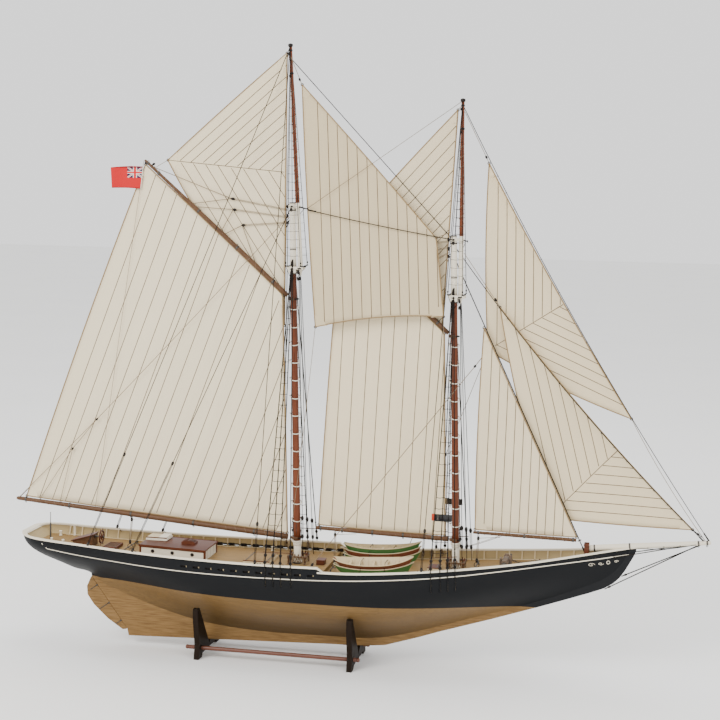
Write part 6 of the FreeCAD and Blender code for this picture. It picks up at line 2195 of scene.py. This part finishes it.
# ---------------------------------------------------------------- stand
dowels = Piece()
for y in (-30.0, 30.0):
    rows = [(0.0, 1.2), (0.5, 2.0), (1.4, 2.4), (3.0, 2.4), (3.4, 2.05), (3.9, 2.05), (4.3, 2.35)]
    rows += [(20.0 + 27.0 * i, 2.35) for i in range(7)]
    rows += [
        (202.0 - d, r) for d,
        r in ((4.3, 2.35), (3.9, 2.05), (3.4, 2.05), (3.0, 2.4), (1.4, 2.4), (0.5, 2.0), (0.0, 1.2))
    ]
    dowels.lathe((-180.0, y, 11.0), (1, 0, 0), rows, 18, 0)
MATERIALS["rod_wood"] = wood("rod_wood", (0.13, 0.045, 0.026), "x", 0.35, 0.35, 0.4)
dowels.make("stand_dowels", "stand", looks("rod_wood"), "stand_wood", ["stand_rods"])

# ---------------------------------------------------------------- sails


class SailForm:
    """Curved sheet on three or four corners: tack, clew, peak, throat (or head)."""

    def __init__(self, corners, edges, belly, columns=28, rows=36):
        self.corners = [Vector(c) for c in corners]
        self.edges = edges
        self.belly = belly
        self.columns = columns
        self.rows = rows
        tack, clew, peak = self.corners[:3]
        throat = self.corners[3] if len(self.corners) == 4 else peak
        self.quad = (tack, clew, peak, throat)
        normal = (clew - tack).cross(peak - tack).normalized()
        self.normal = normal if normal.y > 0 else -normal
        self.middle = (tack + clew + peak + throat) / 4
        self.grid = [[self.point(i / columns, j / rows) for i in range(columns + 1)] for j in range(rows + 1)]
        verts = [p for row in self.grid for p in row]
        faces = []
        for j in range(rows):
            for i in range(columns):
                a = j * (columns + 1) + i
                faces.append((a, a + 1, a + columns + 2, a + columns + 1))
        self.tree = BVHTree.FromPolygons([tuple(v) for v in verts], faces)

    def side(self, a, b, t, bulge):
        """Point along one edge, bowed in the sail's plane away from its middle."""
        run = b - a
        if run.length < 1e-6:
            return a.copy()
        out = run.cross(self.normal).normalized()
        if out.dot((a + b) / 2 - self.middle) < 0:
            out = -out
        return a + run * t + out * (4 * bulge * t * (1 - t))

    def point(self, u, v):
        tack, clew, peak, throat = self.quad
        foot, leech, head, luff = self.edges
        edge = (
            self.side(tack, clew, u, foot) * (1 - v) + self.side(throat, peak, u, head) * v
            + self.side(tack, throat, v, luff) * (1 - u) + self.side(clew, peak, v, leech) * u
        )
        flat = (tack * (1 - u) + clew * u) * (1 - v) + (throat * (1 - u) + peak * u) * v
        across = math.sin(math.pi * min(1.0, u ** 0.8))
        upward = math.sin(math.pi * min(1.0, 0.04 + v * 0.92)) ** 0.7
        return edge - flat + self.normal * (self.belly * across * upward)

    def hit(self, x, z):
        """The sheet's point at (x, z) in side view, or None off the sail."""
        return self.tree.ray_cast((x, -400.0, z), (0, 1, 0))[0]

    def seam(self, start, direction, keep=None):
        """Points on the sail along a side-view line both ways from a start point."""
        dx, dz = direction
        size = math.hypot(dx, dz)
        dx, dz = dx / size, dz / size
        found = []
        run = []
        steps = 260
        reach = 560.0
        for k in range(-steps, steps + 1):
            t = reach * k / steps
            x, z = start[0] + dx * t, start[1] + dz * t
            p = self.hit(x, z)
            if p is not None and (keep is None or keep(x, z)):
                run.append(p)
            elif run:
                found.append(run)
                run = []
        if run:
            found.append(run)
        return [r for r in found if len(r) > 3]


def thin(points, step=5):
    """Every few points of a run, with its ends."""
    return points[::step] + ([points[-1]] if (len(points) - 1) % step else [])


def sail(name, body, form, seams, rope=0.55, patch=14.0, cut=None):
    """One sail: its cloth, sewn seams, corner patches and bolt rope."""
    cloth_piece = Piece()
    cloth_piece.strip(form.grid)
    seam_piece = Piece()
    for start, direction, keep in seams:
        for run in form.seam(start, direction, keep):
            seam_piece.tube(thin(run), 0.46, 4, squash=(form.normal, 1.05))
    edge_piece = Piece()
    top = form.grid[-1]
    edge_piece.tube(form.grid[0], rope, 6)
    edge_piece.tube([row[-1] for row in form.grid], rope, 6)
    edge_piece.tube([row[0] for row in form.grid], rope * 1.15, 6)
    if len(form.corners) == 4:
        edge_piece.tube(top, rope, 6)
    for corner in form.corners:
        edge_piece.ring(corner, form.normal, 1.3, 0.5, 1, 12, 6)
    patch_piece = Piece()
    count = len(form.corners)
    for k, corner in enumerate(form.corners):
        before, after = form.corners[k - 1], form.corners[(k + 1) % count]
        a = corner + (before - corner).normalized() * patch
        b = corner + (after - corner).normalized() * patch
        inner = corner + ((a - corner) + (b - corner)) * 0.62
        rows = []
        for s in (-1, 1):
            offset = form.normal * (0.34 * s)
            ring = []
            for q in (corner, a, inner, b):
                middle = (corner + a + inner + b) / 4
                spot = q.lerp(middle, 0.06)
                lift = form.hit(spot.x, spot.z)
                spot = lift if lift is not None else spot
                ring.append(spot + offset)
            rows.append(ring)
        patch_piece.strip(rows, closed=True)
        base = len(patch_piece.verts) - 8
        patch_piece.faces.append((base + 3, base + 2, base + 1, base))
        patch_piece.faces.append((base + 4, base + 5, base + 6, base + 7))
        patch_piece.mats += [0, 0]
        patch_piece.flat += [True, True]
    cloth_obj = cloth_piece.make(
        name + "_cloth", body, [cut or MATERIALS["sail_cloth"]], "sail_cloth", [name], thicken=0.4
    )
    seam_obj = seam_piece.make(name + "_seams", body, looks("seam"), "pale_line")
    rope_obj = edge_piece.make(name + "_bolt_rope", body, looks("bolt_rope", "dark_metal"), "pale_line")
    patch_obj = patch_piece.make(name + "_patches", body, [cut or MATERIALS["sail_cloth"]], "sail_cloth")
    for j in range(form.rows):
        for i in range(form.columns):
            a, b = form.grid[j][i], form.grid[j][i + 1]
    return form


def parallel(point, direction, spacing, count, first=0, keep=None):
    """Seam lines side by side from a point, spaced across their own direction."""
    dx, dz = direction
    size = math.hypot(dx, dz)
    nx, nz = dz / size, -dx / size
    lines = []
    for k in range(first, first + count):
        lines.append(((point[0] + nx * spacing * k, point[1] + nz * spacing * k), direction, keep))
    return lines


def side_of(p, q, sign):
    """Test for being on one side of the side-view line p-q."""
    def test(x, z):
        return ((q[0] - p[0]) * (z - p[1]) - (q[1] - p[1]) * (x - p[0])) * sign > 0
    return test


def mitred(mitre, leech, leech_row, foot, foot_row, keep=None):
    """Seams of a sail with a mitre; a row is the spacing and the number of its seams."""
    (x0, z0), (x1, z1) = mitre
    return (
        parallel(mitre[0], leech, *leech_row, 1, side_of(*mitre, 1))
        + parallel(mitre[0], foot, *foot_row, 1, side_of(*mitre, -1))
        + [(mitre[0], (x1 - x0, z1 - z0), keep)]
    )


def grid_cloth(name, direction, spacing, tint_and_shade=(1.0, 1.0, 1.0)):
    """Sail cloth whose panels follow the seams' direction; the tint warms the cloth and darkens it, the
    darkening being painted shade.
    """
    size = math.hypot(*direction)
    colour = tuple(a * b for a, b in zip(IVORY, tint_and_shade))
    return cloth(name, colour, (direction[1] / size, 0.0, -direction[0] / size), spacing)


# mainsail
form = SailForm(
    [(-70.5, 0, 143.5), (-385.3, 0, 167.6), (-241.5, 0, 555.4), (-80.3, 0, 413.6)],
    (0.6, 3.0, 0.5, 0.3), 1.9, 36, 44,
)
direction = (143.8, 387.8)
sail(
    "mainsail", "main_boom", form, parallel((-385.3, 167.6), direction, 15.3, 24, 1), 0.75,
    cut=grid_cloth("mainsail_panels", direction, 15.3),
)
# foresail
form = SailForm(
    [(109.6, 0, 152.2), (-34.0, 0, 155.2), (-14.8, 0, 484.2), (103.0, 0, 377.2)],
    (1.0, 1.5, 0.5, 0.3), 1.6, 28, 40,
)
direction = (13.0, 329.0)
sail(
    "foresail", "fore_boom", form, parallel((-34.0, 155.2), direction, 14.4, 10, 1), 0.7,
    cut=grid_cloth("foresail_panels", direction, 14.4, (0.97, 0.95, 0.90)),
)
# main gaff topsail, cut on a mitre from the clew
form = SailForm(
    [(-78.6, 3.8, 379.0), (-216.4, 3.6, 560.8), (-79.6, 0.8, 679.5)], (9.0, 1.0, 0.0, 0.0), -1.2, 30, 34
)
MITRE = ((-216.4, 560.8), (-79.0, 549.5))
leech = (136.8, 118.7)
sail(
    "main_topsail", "main_boom", form,
    mitred(MITRE, leech, (9.6, 12), (1.0, -1.52), (-11.6, 10)),
    0.7, cut=grid_cloth("main_topsail_panels", leech, 9.6, (0.95, 0.94, 0.92)),
)
# fore gaff topsail, its cloth darkened as painted shade
form = SailForm(
    [(98.4, 4.0, 352.0), (-10.5, 3.4, 485.3), (111.2, 0.8, 619.5)], (6.0, 1.0, 0.0, 0.0), 1.4, 28, 32
)
leech = (121.7, 134.2)
sail(
    "fore_topsail", "fore_boom", form, parallel((-10.5, 485.3), leech, 10.2, 14, 1), 0.7,
    cut=grid_cloth("fore_topsail_panels", leech, 10.2, (0.88, 0.86, 0.82)),
)
# fisherman staysail, its cloth darkened as painted shade from the mainsail
form = SailForm(
    [(103.1, -11.5, 396.4), (-39.2, -13.0, 380.1), (-60.9, -3.5, 645.0), (92.0, -7.0, 481.3)],
    (-5.0, 1.5, 1.0, 0.5), 1.0, 34, 36,
)
direction = (-16.0, 264.0)
sail(
    "fisherman", "ship", form, parallel((-39.2, 380.1), direction, 10.6, 15, 1), 0.65,
    cut=grid_cloth("fisherman_panels", direction, 10.6, (0.72, 0.68, 0.60)),
)
# jumbo, its cloth yellower and a little darker, the darkening painted shade
form = SailForm([(254.8, 0, 159.4), (143.2, 0, 161.0), (146.5, 0, 385.0)], (0.6, 2.0, 0.0, 0.0), 3.0, 26, 34)
direction = (3.3, 224.6)
sail(
    "jumbo_sail", "jumbo_boom", form, parallel((143.2, 161.0), direction, 9.6, 12, 1), 0.65,
    cut=grid_cloth("jumbo_panels", direction, 9.6, (0.94, 0.92, 0.88)),
)
# jib, its cloth yellower and darker, the darkening painted shade
form = SailForm(
    [(378.0, 0.6, 175.2), (223.0, 7.5, 177.5), (163.0, 0.6, 408.0)], (1.5, 4.0, 0.0, -5.0), 5.0, 30, 38
)
MITRE = ((223.0, 177.5), (297.3, 259.3))
leech = (-60.0, 230.5)
sail(
    "jib", "ship", form,
    mitred(MITRE, leech, (11.0, 14), (155.0, -2.3), (-10.4, 9), lambda x, z: x < 297.6),
    0.65, cut=grid_cloth("jib_panels", leech, 11.0, (0.90, 0.87, 0.80)),
)
# jib topsail, its cloth yellower and darker, the darkening painted shade
form = SailForm(
    [(308.5, 1.0, 292.4), (150.5, 8.5, 359.7), (146.5, 0.8, 563.0)], (4.0, 3.0, 0.0, -3.1), 5.0, 30, 36
)
MITRE = ((150.5, 359.7), (233.2, 414.7))
leech = (-4.0, 203.3)
sail(
    "jib_topsail", "ship", form,
    mitred(MITRE, leech, (9.8, 12), (158.0, -67.3), (-9.6, 9)),
    0.65, cut=grid_cloth("jib_topsail_panels", leech, 9.8, (0.90, 0.87, 0.80)),
)

low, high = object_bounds()
